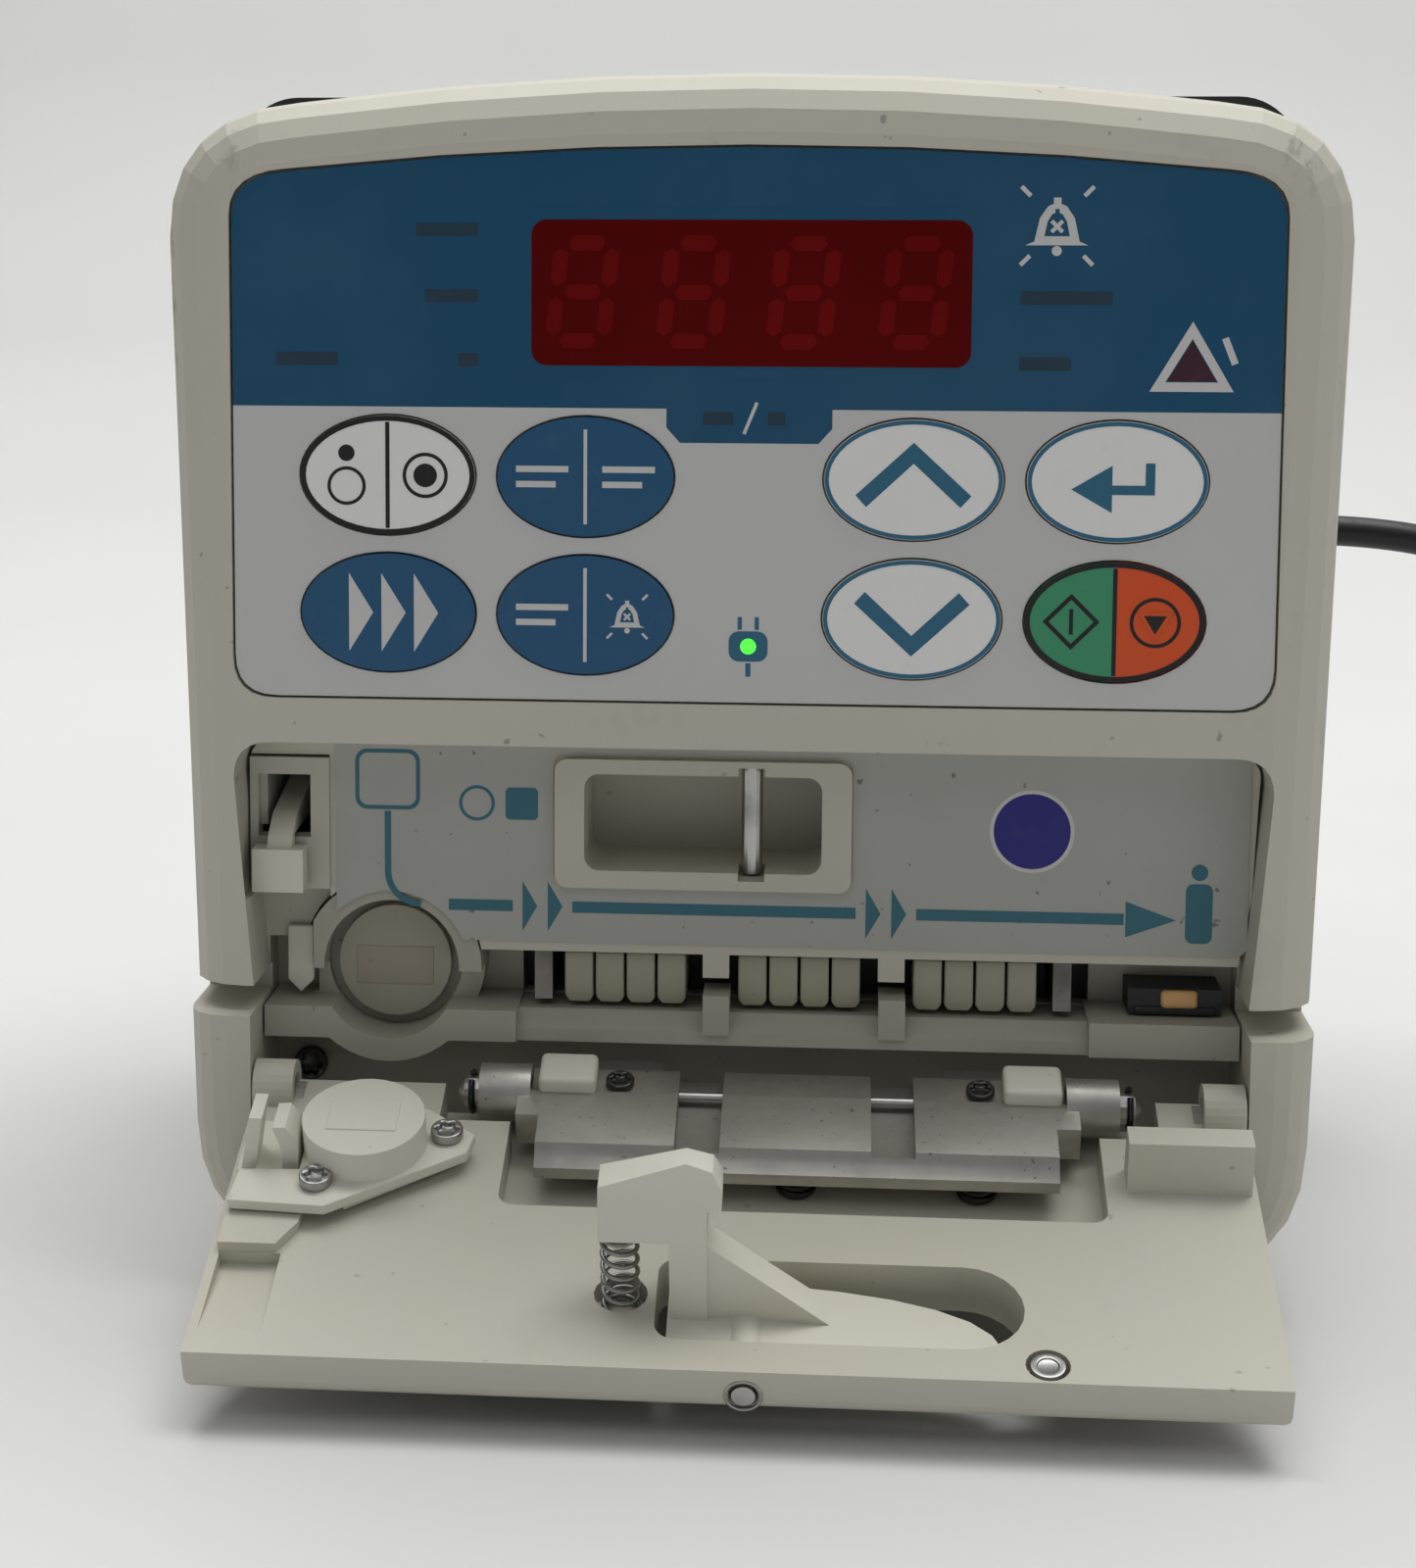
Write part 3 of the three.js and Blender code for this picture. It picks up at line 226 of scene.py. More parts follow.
class Finish:
    """One material, with its shader, its place in the pump's frame, and its nodes."""

    def __init__(self, name, **shader):
        self.material = bpy.data.materials.new(name)
        self.material.use_nodes = True
        self.tree = self.material.node_tree
        self.shader = self.tree.nodes["Principled BSDF"]
        self.place = self.node("TexCoord", {}, out="Object")
        for socket, value in shader.items():
            self.set(socket.replace("_", " "), value)

    def node(self, kind, settings, *values, out=0, **named):
        made = self.tree.nodes.new("ShaderNode" + kind)
        for key, value in settings.items():
            if key == "stops":
                while len(made.color_ramp.elements) < len(value):
                    made.color_ramp.elements.new(0.5)
                for element, (position, colour) in zip(made.color_ramp.elements, value):
                    element.position, element.color = position, (*colour, 1)
            else:
                setattr(made, key, value)
        for index, value in [*enumerate(values), *named.items()]:
            socket = made.inputs[index if isinstance(index, int) else index.replace("_", " ")]
            if isinstance(value, Wire):
                self.tree.links.new(value.socket, socket)
            else:
                socket.default_value = value
        return Wire(self, made.outputs[out])

    def set(self, socket, value):
        if isinstance(value, Wire):
            self.tree.links.new(value.socket, self.shader.inputs[socket])
        elif isinstance(value, tuple) and len(value) == 3:
            self.shader.inputs[socket].default_value = (*value, 1)
        else:
            self.shader.inputs[socket].default_value = value

    def noise(self, scale, detail=2, rough=0.5, stretch=None):
        place = self.place
        if stretch:
            place = self.node("Mapping", {}, place, Scale=stretch)
        return self.node("TexNoise", {}, Vector=place, Scale=scale, Detail=detail, Roughness=rough)

    def axes(self):
        split = self.node("SeparateXYZ", {}, self.place)
        node = split.socket.node
        return [Wire(self, node.outputs[i]) for i in range(3)]

    def blend(self, mask, a, b):
        """Colour a where the mask is 0, b where it is 1."""
        made = self.tree.nodes.new("ShaderNodeMix")
        made.data_type = "RGBA"
        for index, value in ((0, mask), (6, a), (7, b)):
            if isinstance(value, Wire):
                self.tree.links.new(value.socket, made.inputs[index])
            else:
                made.inputs[index].default_value = value if index == 0 else (*value, 1)
        return Wire(self, made.outputs[2])

    def bump(self, height, strength, distance=0.0002):
        self.set("Normal", self.node("Bump", {}, Strength=strength, Distance=distance, Height=height))


def moulded(name, colour, grain=0.25, soil=0.5):
    """Moulded plastic: even colour with faint mottling, a fine grain, specks and handling marks."""
    finish = Finish(name, Roughness=0.5, Specular_IOR_Level=0.45)
    patch = finish.noise(38, 4, 0.6).within(0.42, 0.72)
    speck = finish.noise(560, 2, 0.4).within(0.74, 0.79)
    dark = tuple(0.78 * c for c in colour)
    warm = (colour[0] * 1.02, colour[1], colour[2] * 0.95)
    tone = finish.blend(patch * 0.45, colour, warm)
    tone = finish.blend(finish.noise(120, 5, 0.7).within(0.58, 0.75) * soil * 0.5, tone, dark)
    tone = finish.blend(speck * soil, tone, (0.12, 0.11, 0.1))
    finish.set("Base Color", tone)
    finish.set("Roughness", 0.46 + finish.noise(90, 3) * 0.14)
    finish.bump(finish.noise(2600, 2, 0.6) + finish.noise(9, 2) * 0.4, grain, 0.00005)
    return finish


def casing_finish():
    """The casing's plastic, with scuffs gathered at its shoulders, sides and lower corners."""
    finish = moulded("casing_plastic", CASING_GREY)
    x, y, z = finish.axes()
    sides = abs(x).within(0.0655, 0.0705)
    corner = abs(x).within(0.052, 0.068) * z.within(0.128, 0.144)
    scrape = finish.noise(210, 6, 0.8, (1, 1, 0.35)).within(0.56, 0.66)
    worn = (sides * 0.8 + corner) * scrape
    base = finish.shader.inputs["Base Color"].links[0].from_socket
    finish.set("Base Color", finish.blend(worn * 0.75, Wire(finish, base), (0.16, 0.15, 0.135)))
    # a thumb's print on the strip above the bay
    ring = finish.node("TexWave", {"wave_type": "RINGS", "rings_direction": "Y"},
                       Vector=finish.node("Mapping", {}, finish.place, Location=(0.012, 0, -0.0722)),
                       Scale=120, Distortion=2.5, Detail_Scale=1.5)
    near = 1 - (abs(x + 0.0125) * 130 + abs(z - 0.0712) * 330).within(0.4, 1.2)
    print_mark = near * (y < -0.0445) * ring.within(0.45, 0.6) * 0.1
    base = finish.shader.inputs["Base Color"].links[0].from_socket
    finish.set("Base Color", finish.blend(print_mark, Wire(finish, base), (0.3, 0.29, 0.27)))
    return finish


paper = Finish("paper_sweep", Roughness=0.6, Specular_IOR_Level=0.2)
paper_cloud = paper.noise(6, 3).within(0.3, 0.7)
paper.set("Base Color", paper.blend(paper_cloud, (0.70, 0.70, 0.695), (0.72, 0.72, 0.715)))
floor_mesh.materials.append(paper.material)
CASING_GREY = (0.565, 0.545, 0.462)
casing_plastic = casing_finish()
panel_plastic = moulded("door_plastic", CASING_GREY, soil=0.35)


def give(finish, *names):
    """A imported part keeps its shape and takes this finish."""
    for name in names:
        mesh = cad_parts[name].data
        mesh.materials.clear()
        mesh.materials.append(finish.material)


give(casing_plastic, "front_casing")
give(panel_plastic, "bay_plate", "door_panel")
# The tube tray is coloured darker than the casing grey as painted shade for the shaded inside of the bay.
give(moulded("tray_plastic_painted_shade", (0.42, 0.41, 0.345), soil=0.5), "tube_tray")
give(moulded("frame_plastic", (0.52, 0.51, 0.44), soil=0.4), "lever_frame")
give(moulded("disc_plastic", (0.40, 0.37, 0.30), soil=0.2), "pressure_disc")
acetal = moulded("acetal", (0.70, 0.68, 0.59), 0.12, 0.3)
finger_plastic = moulded("finger_acetal", (0.40, 0.375, 0.29), 0.08, 0.3)
fine_black = moulded("black_plastic", (0.017, 0.018, 0.02), 0.3, 0.2)
give(fine_black,
     "rear_cover", "foot_frame", "air_sensor", "mains_inlet", "clamp_screw", "finger_guide",
     "battery_pack", "motor", "display_board")

# ---- Bare and painted metal ----
# Ground steel pins and shaft, a die-cast platen whose pads are machined along their length, and a
# powder-coated clamp behind.


def ground_steel(name, colour, streak):
    """Steel with fine grinding marks along one way, a little dull and stained."""
    finish = Finish(name, Metallic=1.0)
    lines = finish.noise(900, 3, 0.6, streak)
    stain = finish.noise(160, 4, 0.6).within(0.4, 0.75)
    finish.set("Base Color", finish.blend(stain * 0.6, colour, tuple(0.45 * c for c in colour)))
    finish.set("Roughness", 0.24 + lines * 0.12 + stain * 0.14)
    finish.bump(lines, 0.25, 0.00004)
    return finish


give(ground_steel("ground_steel", (0.52, 0.51, 0.49), (1, 1, 0.1)),
     "latch_pin", "camshaft", "hinge_pin_left", "hinge_pin_right", "platen_shaft", "latch_pivot")
give(ground_steel("dark_steel", (0.16, 0.155, 0.145), (1, 0.2, 1)), "valve_in", "valve_out")


def platen_metal():
    """Cast alloy, cloudy and pitted, with cutter marks along its length."""
    finish = Finish("platen_alloy", Metallic=0.9)
    mark = finish.noise(420, 4, 0.6, (0.12, 1, 1))
    cloud = finish.noise(150, 3, 0.6).within(0.35, 0.7)
    pit = finish.noise(1500, 3, 0.6).within(0.66, 0.72)
    finish.set("Base Color", finish.blend(
        pit * 0.7, finish.blend(cloud * 0.6 + mark * 0.3, (0.52, 0.50, 0.46), (0.36, 0.345, 0.32)),
        (0.08, 0.08, 0.075)))
    finish.set("Roughness", 0.34 + mark * 0.16 + cloud * 0.08)
    finish.bump(mark + pit * 0.4, 0.3, 0.00005)
    return finish


alloy = platen_metal()
powder_coat = moulded("powder_coat", (0.03, 0.031, 0.034), 0.5, 0.1)

# ---- Lead, connector and plug ----
# Satin black PVC, smooth, with a trace of dust.


def sheath():
    finish = Finish("cord_sheath", Base_Color=(0.012, 0.012, 0.013), Specular_IOR_Level=0.5)
    dust = finish.noise(240, 4, 0.7).within(0.55, 0.8)
    finish.set("Base Color", finish.blend(dust * 0.3, (0.007, 0.007, 0.008), (0.03, 0.029, 0.027)))
    finish.set("Roughness", 0.46 + dust * 0.2)
    finish.bump(finish.noise(1400, 2), 0.12, 0.00004)
    return finish


cord_sheath = sheath()
lead_curve.materials.append(cord_sheath.material)
give(cord_sheath, "cord_connector", "mains_plug")

# ---- Keypad film and keys ----
# A printed polyester film: steel blue above with a tab that drops below the display, cool grey
# below, slightly glossy, over eight oval keys.
BLUE_ABOVE = 0.0347  # height of the blue band's lower edge over the film's
TAB_HALF, TAB_DROP = 0.0097, 0.004
FILM_BLUE = (0.004, 0.076, 0.163)
FILM_GREY = (0.59, 0.59, 0.58)


def keypad_film():
    finish = Finish("keypad_film", Specular_IOR_Level=0.35)
    x, _, z = finish.axes()
    edge = keypad_low.z + BLUE_ABOVE
    band = z > edge
    tab = (abs(x) < TAB_HALF) * (z > edge - TAB_DROP)
    # the tab's corners are cut off
    slope = (abs(x) + (edge - z) * 0.9) < TAB_HALF + 0.002
    blue = 1 - (1 - band) * (1 - tab * slope)
    smear = finish.noise(30, 4, 0.7).within(0.35, 0.75)
    finish.set("Base Color", finish.blend(
        smear * 0.04, finish.blend(blue, FILM_GREY, FILM_BLUE), (0.24, 0.25, 0.26)))
    finish.set("Roughness", 0.36 + smear * 0.12)
    finish.bump(finish.noise(1500, 2), 0.06, 0.00003)
    return finish


film = keypad_film()
give(film, "keypad_overlay")


def key_film(name, colour, split=None):
    """A key's printed face; split gives a second colour to the right of its middle."""
    finish = Finish(name, Specular_IOR_Level=0.4)
    tone = colour
    if split:
        x, _, _ = finish.axes()
        tone = finish.blend(x > 0.0427, colour, split)
    wear = finish.noise(200, 4, 0.7).within(0.5, 0.8)
    finish.set("Base Color", finish.blend(wear * 0.07, tone, (0.25, 0.25, 0.25)))
    finish.set("Roughness", 0.33 + wear * 0.15)
    finish.bump(finish.noise(1500, 2), 0.05, 0.00003)
    return finish


key_white = key_film("key_white", (0.83, 0.83, 0.81))
key_blue = key_film("key_blue", (0.012, 0.09, 0.20))
give(key_white, "key_power", "key_up", "key_enter", "key_down")
give(key_blue, "key_select", "key_prime", "key_clear")
give(key_film("key_green", (0.045, 0.30, 0.155), (0.72, 0.085, 0.012)), "key_run")

# ---- Display window ----
# A dark red acrylic filter, with the unlit segments of four slanted digits just showing behind it.


def red_filter(name, deep, pale):
    finish = Finish(name, Specular_IOR_Level=0.1)
    glow = finish.noise(60, 2).within(0.3, 0.7)
    finish.set("Base Color", finish.blend(glow, deep, pale))
    finish.set("Roughness", 0.22 + glow * 0.05)
    return finish


give(red_filter("display_filter", (0.098, 0.0008, 0.0012), (0.115, 0.0009, 0.0014)),
     "display_window")


def settle(piece, name, finish, body="pump", turn=None):
    """The piece's place goes into its mesh; it takes its finish and rides on its body."""
    piece.name = piece.data.name = name
    bpy.context.view_layer.update()
    if turn is not None:
        piece.matrix_world = turn @ piece.matrix_world
    bpy.ops.object.select_all(action="DESELECT")
    piece.select_set(True)
    bpy.context.view_layer.objects.active = piece
    bpy.ops.object.transform_apply(location=True, rotation=True, scale=True)
    piece.data.materials.clear()
    piece.data.materials.append(finish.material)
    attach(piece, body)
    bpy.ops.object.select_all(action="DESELECT")
    return piece


def printed(name, shapes, depth, finish, body="pump", thick=0.03):
    """A flat print: closed outlines in x and z, millimetres; one inside another is a hole."""
    curve = bpy.data.curves.new(name, "CURVE")
    curve.dimensions, curve.fill_mode, curve.extrude = "2D", "BOTH", thick / 2000
    for shape in shapes:
        spline = curve.splines.new("POLY")
        spline.points.add(len(shape) - 1)
        for point, (x, z) in zip(spline.points, shape):
            point.co = (x / 1000, z / 1000, 0, 1)
        spline.use_cyclic_u = True
    piece = bpy.data.objects.new(name, curve)
    scene.collection.objects.link(piece)
    bpy.ops.object.select_all(action="DESELECT")
    piece.select_set(True)
    bpy.context.view_layer.objects.active = piece
    bpy.ops.object.convert(target="MESH")
    piece = bpy.context.object
    piece.rotation_euler = (math.pi / 2, 0, 0)
    piece.location = at(0, depth, 0)
    bpy.context.view_layer.update()
    return settle(piece, name, finish, body)


def stroke(x0, z0, x1, z1, width):
    """A straight line with square ends, as a closed outline."""
    along = Vector((x1 - x0, z1 - z0)).normalized() * (width / 2)
    side = Vector((-along.y, along.x))
    return [(x0 + side.x, z0 + side.y), (x1 + side.x, z1 + side.y),
            (x1 - side.x, z1 - side.y), (x0 - side.x, z0 - side.y)]


def digit_segments(x, z):
    """The seven segments of a figure eight, leaning to the right."""
    lean = 0.1
    wide, high, bar = 6.0, 5.7, 1.8
    tip, shoulder = wide / 2 - 0.8, wide / 2 - 1.4
    segments = []
    for y in (-high, 0, high):
        segments.append([(-tip, y), (-shoulder, y + bar / 2), (shoulder, y + bar / 2),
                         (tip, y), (shoulder, y - bar / 2), (-shoulder, y - bar / 2)])
    for side in (-1, 1):
        for half in (-1, 1):
            u, low, top = side * wide / 2, min(0, half * high) + 0.6, max(0, half * high) - 0.6
            segments.append([(u, low), (u + bar / 2, low + 0.6), (u + bar / 2, top - 0.6), (u, top),
                             (u - bar / 2, top - 0.6), (u - bar / 2, low + 0.6)])
    return [[(x + u + lean * v, z + v) for u, v in outline] for outline in segments]


DIGIT_X, DIGIT_Z = (-19.6, -6.6, 6.2, 19.2), 108.4
unlit = red_filter("unlit_segments", (0.15, 0.002, 0.003), (0.175, 0.003, 0.004))
printed("display_segments", [outline for x in DIGIT_X for outline in digit_segments(x, DIGIT_Z)],
        -0.02, unlit)

# ---- Prints on the keypad ----
# Screen-printed inks: rings and plain symbols on the keys, faint legends as blank bars, an alarm
# bell and triangle above, and the mains symbol round a green lamp.


def ink(name, colour):
    """A flat ink, a little uneven and rubbed."""
    finish = Finish(name, Specular_IOR_Level=0.35)
    wear = finish.noise(260, 4, 0.7).within(0.5, 0.85)
    finish.set("Base Color", finish.blend(wear * 0.25, colour, tuple(0.6 * c + 0.08 for c in colour)))
    finish.set("Roughness", 0.4 + wear * 0.12)
    finish.bump(finish.noise(1700, 2), 0.05, 0.00002)
    return finish


def oval(x, z, rx, rz=None, count=48, start=0.0, sweep_deg=360):
    rz = rx if rz is None else rz
    last = count if sweep_deg == 360 else count + 1
    return [(x + rx * math.cos(math.radians(start + sweep_deg * i / count)),
             z + rz * math.sin(math.radians(start + sweep_deg * i / count))) for i in range(last)]


def ring(x, z, rx, rz, width):
    return [oval(x, z, rx, rz), oval(x, z, rx - width, rz - width)]


def rounded(x0, x1, z0, z1, r):
    """A rectangle with round corners."""
    corners = ((x1 - r, z0 + r, -90), (x1 - r, z1 - r, 0), (x0 + r, z1 - r, 90), (x0 + r, z0 + r, 180))
    outline = []
    for x, z, start in corners:
        outline += oval(x, z, r, count=6, start=start, sweep_deg=90)
    return outline


KEY_X, KEY_Z = (-42.7, -19.2, 19.2, 42.7), (86.7, 70.3)
KEY_FACE, FILM_FACE = -0.165, 0.085  # depths of the prints on the keys and on the film
KEY_RING = (10.4, 7.05, 0.62)
FINE_RING = (10.35, 7.0, 0.5)
INK_BLACK = ink("ink_black", (0.012, 0.012, 0.013))
INK_WHITE = ink("ink_white", (0.62, 0.62, 0.61))
INK_BLUE = ink("ink_blue", (0.03, 0.14, 0.235))
INK_FAINT = ink("ink_faint", (0.016, 0.045, 0.07))

power_x, upper, lower = KEY_X[0], *KEY_Z
printed("symbols_power", [
    *ring(power_x, upper, *KEY_RING), stroke(power_x, upper - 6.3, power_x, upper + 6.3, 0.5),
    *ring(power_x - 4.9, upper - 1.3, 2.3, 2.3, 0.4), oval(power_x - 4.9, upper + 2.6, 0.98),
    *ring(power_x + 4.5, upper, 2.7, 2.7, 0.42), oval(power_x + 4.5, upper, 1.4),
], KEY_FACE, INK_BLACK)


def chevron(x, z, way):
    """A thick V, its point up or down."""
    w, h, t = 6.1, 3.0, 1.25
    return [(x - w - t * 0.5, z - way * (h - t * 0.7)), (x, z + way * (h + t * 0.85)),
            (x + w + t * 0.5, z - way * (h - t * 0.7)), (x + w - t * 0.5, z - way * (h + t * 0.4)),
            (x, z + way * (h - t * 1.1)), (x - w + t * 0.5, z - way * (h + t * 0.4))]


up_x, enter_x = KEY_X[2], KEY_X[3]
printed("symbols_arrows", [
    *ring(up_x, upper, *FINE_RING), chevron(up_x, upper + 0.3, 1),
    *ring(up_x, lower, *FINE_RING), chevron(up_x, lower - 0.3, -1),
    *ring(enter_x, upper, *FINE_RING),
    [(enter_x - 5.3, upper - 0.9), (enter_x - 0.6, upper + 1.9), (enter_x - 0.6, upper - 0.4),
     (enter_x + 3.2, upper - 0.4), (enter_x + 3.2, upper + 2.2), (enter_x + 4.3, upper + 2.2),
     (enter_x + 4.3, upper - 1.5), (enter_x - 0.6, upper - 1.5), (enter_x - 0.6, upper - 3.6)],
], KEY_FACE, INK_BLUE)
run_x = KEY_X[3]
printed("symbols_run", [
    *ring(run_x, lower, *KEY_RING), stroke(run_x, lower - 6.3, run_x, lower + 6.3, 0.5),
    [(run_x - 8.3, lower), (run_x - 5, lower + 3.3), (run_x - 1.7, lower), (run_x - 5, lower - 3.3)],
    [(run_x - 7.6, lower), (run_x - 5, lower - 2.6), (run_x - 2.4, lower), (run_x - 5, lower + 2.6)],
    stroke(run_x - 5, lower - 1.5, run_x - 5, lower + 1.5, 0.45),
    *ring(run_x + 4.7, lower, 2.95, 2.95, 0.42),
    [(run_x + 2.5, lower + 1.3), (run_x + 6.9, lower + 1.3), (run_x + 4.7, lower - 2.3)],
    [(run_x + 3.4, lower + 0.8), (run_x + 4.7, lower - 1.4), (run_x + 6, lower + 0.8)],
], KEY_FACE, INK_BLACK)


def bell(x, z, size):
    """A ringing bell with a cross in it."""
    left = [(-1, -0.62), (-0.72, -0.5), (-0.55, 0.25), (-0.3, 0.62), (-0.12, 0.7), (-0.12, 0.9)]
    outline = left + [(-u, v) for u, v in left[::-1]]
    cross = [(0, 0.09), (0.13, 0.22), (0.22, 0.13), (0.09, 0), (0.22, -0.13), (0.13, -0.22), (0, -0.09),
             (-0.13, -0.22), (-0.22, -0.13), (-0.09, 0), (-0.22, 0.13), (-0.13, 0.22)]
    shapes = [[(x + size * u, z + size * v) for u, v in outline],
              oval(x, z - size * 0.8, size * 0.16, count=16),
              [(x + size * 0.56 * u, z + size * (0.62 * v - 0.02)) for u, v in outline[1:-1]],
              [(x + size * u, z + size * (v - 0.02)) for u, v in cross]]
    for u in (-1, 1):
        for v in (-1, 1):
            shapes.append(stroke(x + u * size * 0.85, z + v * size * 0.95, x + u * size * 1.15,
                                 z + v * size * 1.25, size * 0.14))
    return shapes


def text_bars(x, z):
    """Two blank lines in place of words, starting at x."""
    return [stroke(x, z + 0.9, x + 6.2, z + 0.9, 0.75), stroke(x, z - 0.9, x + 4.7, z - 0.9, 0.75)]


select_x, prime_x = KEY_X[1], KEY_X[0]
printed("symbols_white", [
    stroke(select_x, upper - 5.6, select_x, upper + 5.6, 0.42),
    stroke(select_x, lower - 5.6, select_x, lower + 5.6, 0.42),
    *text_bars(select_x - 8.2, upper), *text_bars(select_x + 2, upper), *text_bars(select_x - 8.2, lower),
    *bell(select_x + 5, lower - 0.1, 2.1),
    *[[(prime_x + u, lower + 4.7), (prime_x + u + 2.9, lower), (prime_x + u, lower - 4.7)]
      for u in (-4.7, -0.8, 3.1)],
], KEY_FACE, INK_WHITE)

alarm = [(50.9, 105.3), (46.1, 97.2), (55.7, 97.2)]
printed("symbols_film", [
    *bell(35.2, 116.2, 3.6), alarm, [(50.9, 103.3), (53.9, 98.3), (47.9, 98.3)],
    stroke(54.6, 103.4, 55.8, 100.4, 0.8),
    stroke(-0.6, 91.9, 0.9, 95.6, 0.4),
], FILM_FACE, INK_WHITE)
printed("alarm_lamp", [[(50.9, 103.1), (53.7, 98.4), (48.1, 98.4)]], FILM_FACE,
        ink("ink_maroon", (0.05, 0.012, 0.025)), thick=0.028)
printed("window_edge", [rounded(-27.2, 27.2, 98.3, 118.3, 1.6), rounded(-25.3, 25.3, 100.0, 116.6, 1.9)],
        FILM_FACE, film)
# left end, right end and height of each blank bar
LEGENDS = [(-39.2, -31.9, 115.6), (-38.2, -31.9, 107.9), (-34.3, -31.9, 100.4), (-55.9, -48.6, 100.4),
           (31.2, 41.7, 107.9), (31.2, 37.1, 100.3), (-5.4, -1.9, 93.7), (2.2, 4.2, 93.7)]
printed("legend_bars", [stroke(a, z, b, z, 1.5) for a, b, z in LEGENDS],
        FILM_FACE, INK_FAINT)
printed("mains_symbol", [
    rounded(-2.2, 2.4, 65, 68.6, 1.2), stroke(-0.9, 68.8, -0.9, 70.3, 0.5),
    stroke(1.1, 68.8, 1.1, 70.3, 0.5), stroke(0.1, 64.8, 0.1, 63.2, 0.6),
], FILM_FACE, INK_BLUE)


def lamp():
    """The small green mains lamp, lit."""
    finish = Finish("lamp_green", Emission_Strength=1.4)
    glow = finish.noise(900, 2).within(0.3, 0.7)
    finish.set("Base Color", finish.blend(glow, (0.02, 0.5, 0.03), (0.05, 0.7, 0.05)))
    finish.set("Emission Color", finish.blend(glow, (0.03, 0.75, 0.02), (0.1, 0.95, 0.06)))
    bpy.ops.mesh.primitive_uv_sphere_add(segments=20, ring_count=10, radius=0.00095,
                                         location=at(0.1, 0.1, 66.8))
    bpy.context.object.scale = (1, 0.35, 1)
    settle(bpy.context.object, "mains_lamp", finish)


lamp()

# ---- Instruction label in the bay ----
# A cool-grey polyester label on the bay plate, cut round the pressure disc's collar and the latch
# pocket. It carries plain signs of no maker: a bag, the flow's arrows, a blank disc and a figure.
LABEL_LEFT, LABEL_RIGHT = -50.4, 60.0
LABEL_LOW, LABEL_HIGH = 28.9, 53.8
DISC_MIDDLE = (-43.7, 25.2)
DISC_CUT = 9.6
LABEL_CORNER = 1.5


def label_outline():
    """The label's edge: square at the upper left, bitten by the disc, rounded at the right."""
    disc_x, disc_z = DISC_MIDDLE
    left = math.degrees(math.acos((LABEL_LEFT - disc_x) / DISC_CUT))
    low = math.degrees(math.asin((LABEL_LOW - disc_z) / DISC_CUT))
    turn_x = LABEL_RIGHT - LABEL_CORNER
    return [(LABEL_LEFT, LABEL_HIGH),
            *oval(disc_x, disc_z, DISC_CUT, count=18, start=left, sweep_deg=low - left),
            *oval(turn_x, LABEL_LOW + LABEL_CORNER, LABEL_CORNER, count=6, start=-90, sweep_deg=90),
            *oval(turn_x, LABEL_HIGH - LABEL_CORNER, LABEL_CORNER, count=6, start=0, sweep_deg=90)]


label_film = Finish("label_film", Specular_IOR_Level=0.35)
label_dust = label_film.noise(60, 4, 0.7).within(0.4, 0.75)
label_speck = label_film.noise(700, 2, 0.4).within(0.73, 0.77)
label_tone = label_film.blend(label_dust * 0.35, (0.43, 0.435, 0.405), (0.38, 0.38, 0.345))
label_film.set("Base Color", label_film.blend(label_speck * 0.7, label_tone, (0.1, 0.1, 0.09)))
label_film.set("Roughness", 0.42 + label_dust * 0.1)
label_film.bump(label_film.noise(1300, 2), 0.06, 0.00003)
LABEL_DEPTH = 7.38
LABEL_FACE = LABEL_DEPTH - 0.115  # depth of the prints on it
printed("bay_label", [label_outline(), rounded(-23.6, 12.7, 35.7, 52.4, 1.8)], LABEL_DEPTH, label_film,
        thick=0.2)
INK_TEAL = ink("ink_teal", (0.035, 0.15, 0.20))


def triangle(x, z, wide, half):
    return [(x, z + half), (x + wide, z), (x, z - half)]


def bend(x, z, radius, width, start, sweep_deg):
    """A band of one width along an arc."""
    outer = oval(x, z, radius + width / 2, count=12, start=start, sweep_deg=sweep_deg)
    inner = oval(x, z, radius - width / 2, count=12, start=start, sweep_deg=sweep_deg)
    return outer + inner[::-1]


FLOW_Z = 33.3
BAG_X, BAG_BEND = -44, 4
LINE_START = BAG_X + BAG_BEND
FLOW_PITCH = 3.1
FIGURE_X = 54.2
bag = [rounded(BAG_X - 4, BAG_X + 4, 45, 52.5, 1.5), rounded(BAG_X - 3.5, BAG_X + 3.5, 45.5, 52, 1.1)]
tube = [stroke(BAG_X, 44.8, BAG_X, FLOW_Z + BAG_BEND, 0.8),
        bend(LINE_START, FLOW_Z + BAG_BEND, BAG_BEND, 0.8, 180, 90)]
clamp = [*ring(-33, 46, 2.2, 2.2, 0.4), rounded(-29.5, -25.5, 44, 48, 0.6)]
figure = [oval(FIGURE_X, 39.2, 1), rounded(FIGURE_X - 1.6, FIGURE_X + 1.6, 30.5, 37.8, 0.9)]
arrows = [triangle(x + FLOW_PITCH * i, FLOW_Z, 1.8, 3.1) for x in (-27.4, 14.4) for i in (0, 1)]
lines = [stroke(-36.5, FLOW_Z, -28.6, FLOW_Z, 1.4), stroke(-21.3, FLOW_Z, 13.2, FLOW_Z, 1.4),
         stroke(20.5, FLOW_Z, 45.3, FLOW_Z, 1.4)]
printed("tube_path", [*bag, *tube, *clamp, *figure, *arrows, *lines, triangle(45.5, FLOW_Z, 6, 2.2)],
        LABEL_FACE, INK_TEAL)
BADGE_X, BADGE_Z, BADGE_RADIUS = 34.2, 43.8, 4.6
printed("badge_edge", [oval(BADGE_X, BADGE_Z, BADGE_RADIUS + 0.45), oval(BADGE_X, BADGE_Z, BADGE_RADIUS)],
        LABEL_FACE, INK_WHITE)
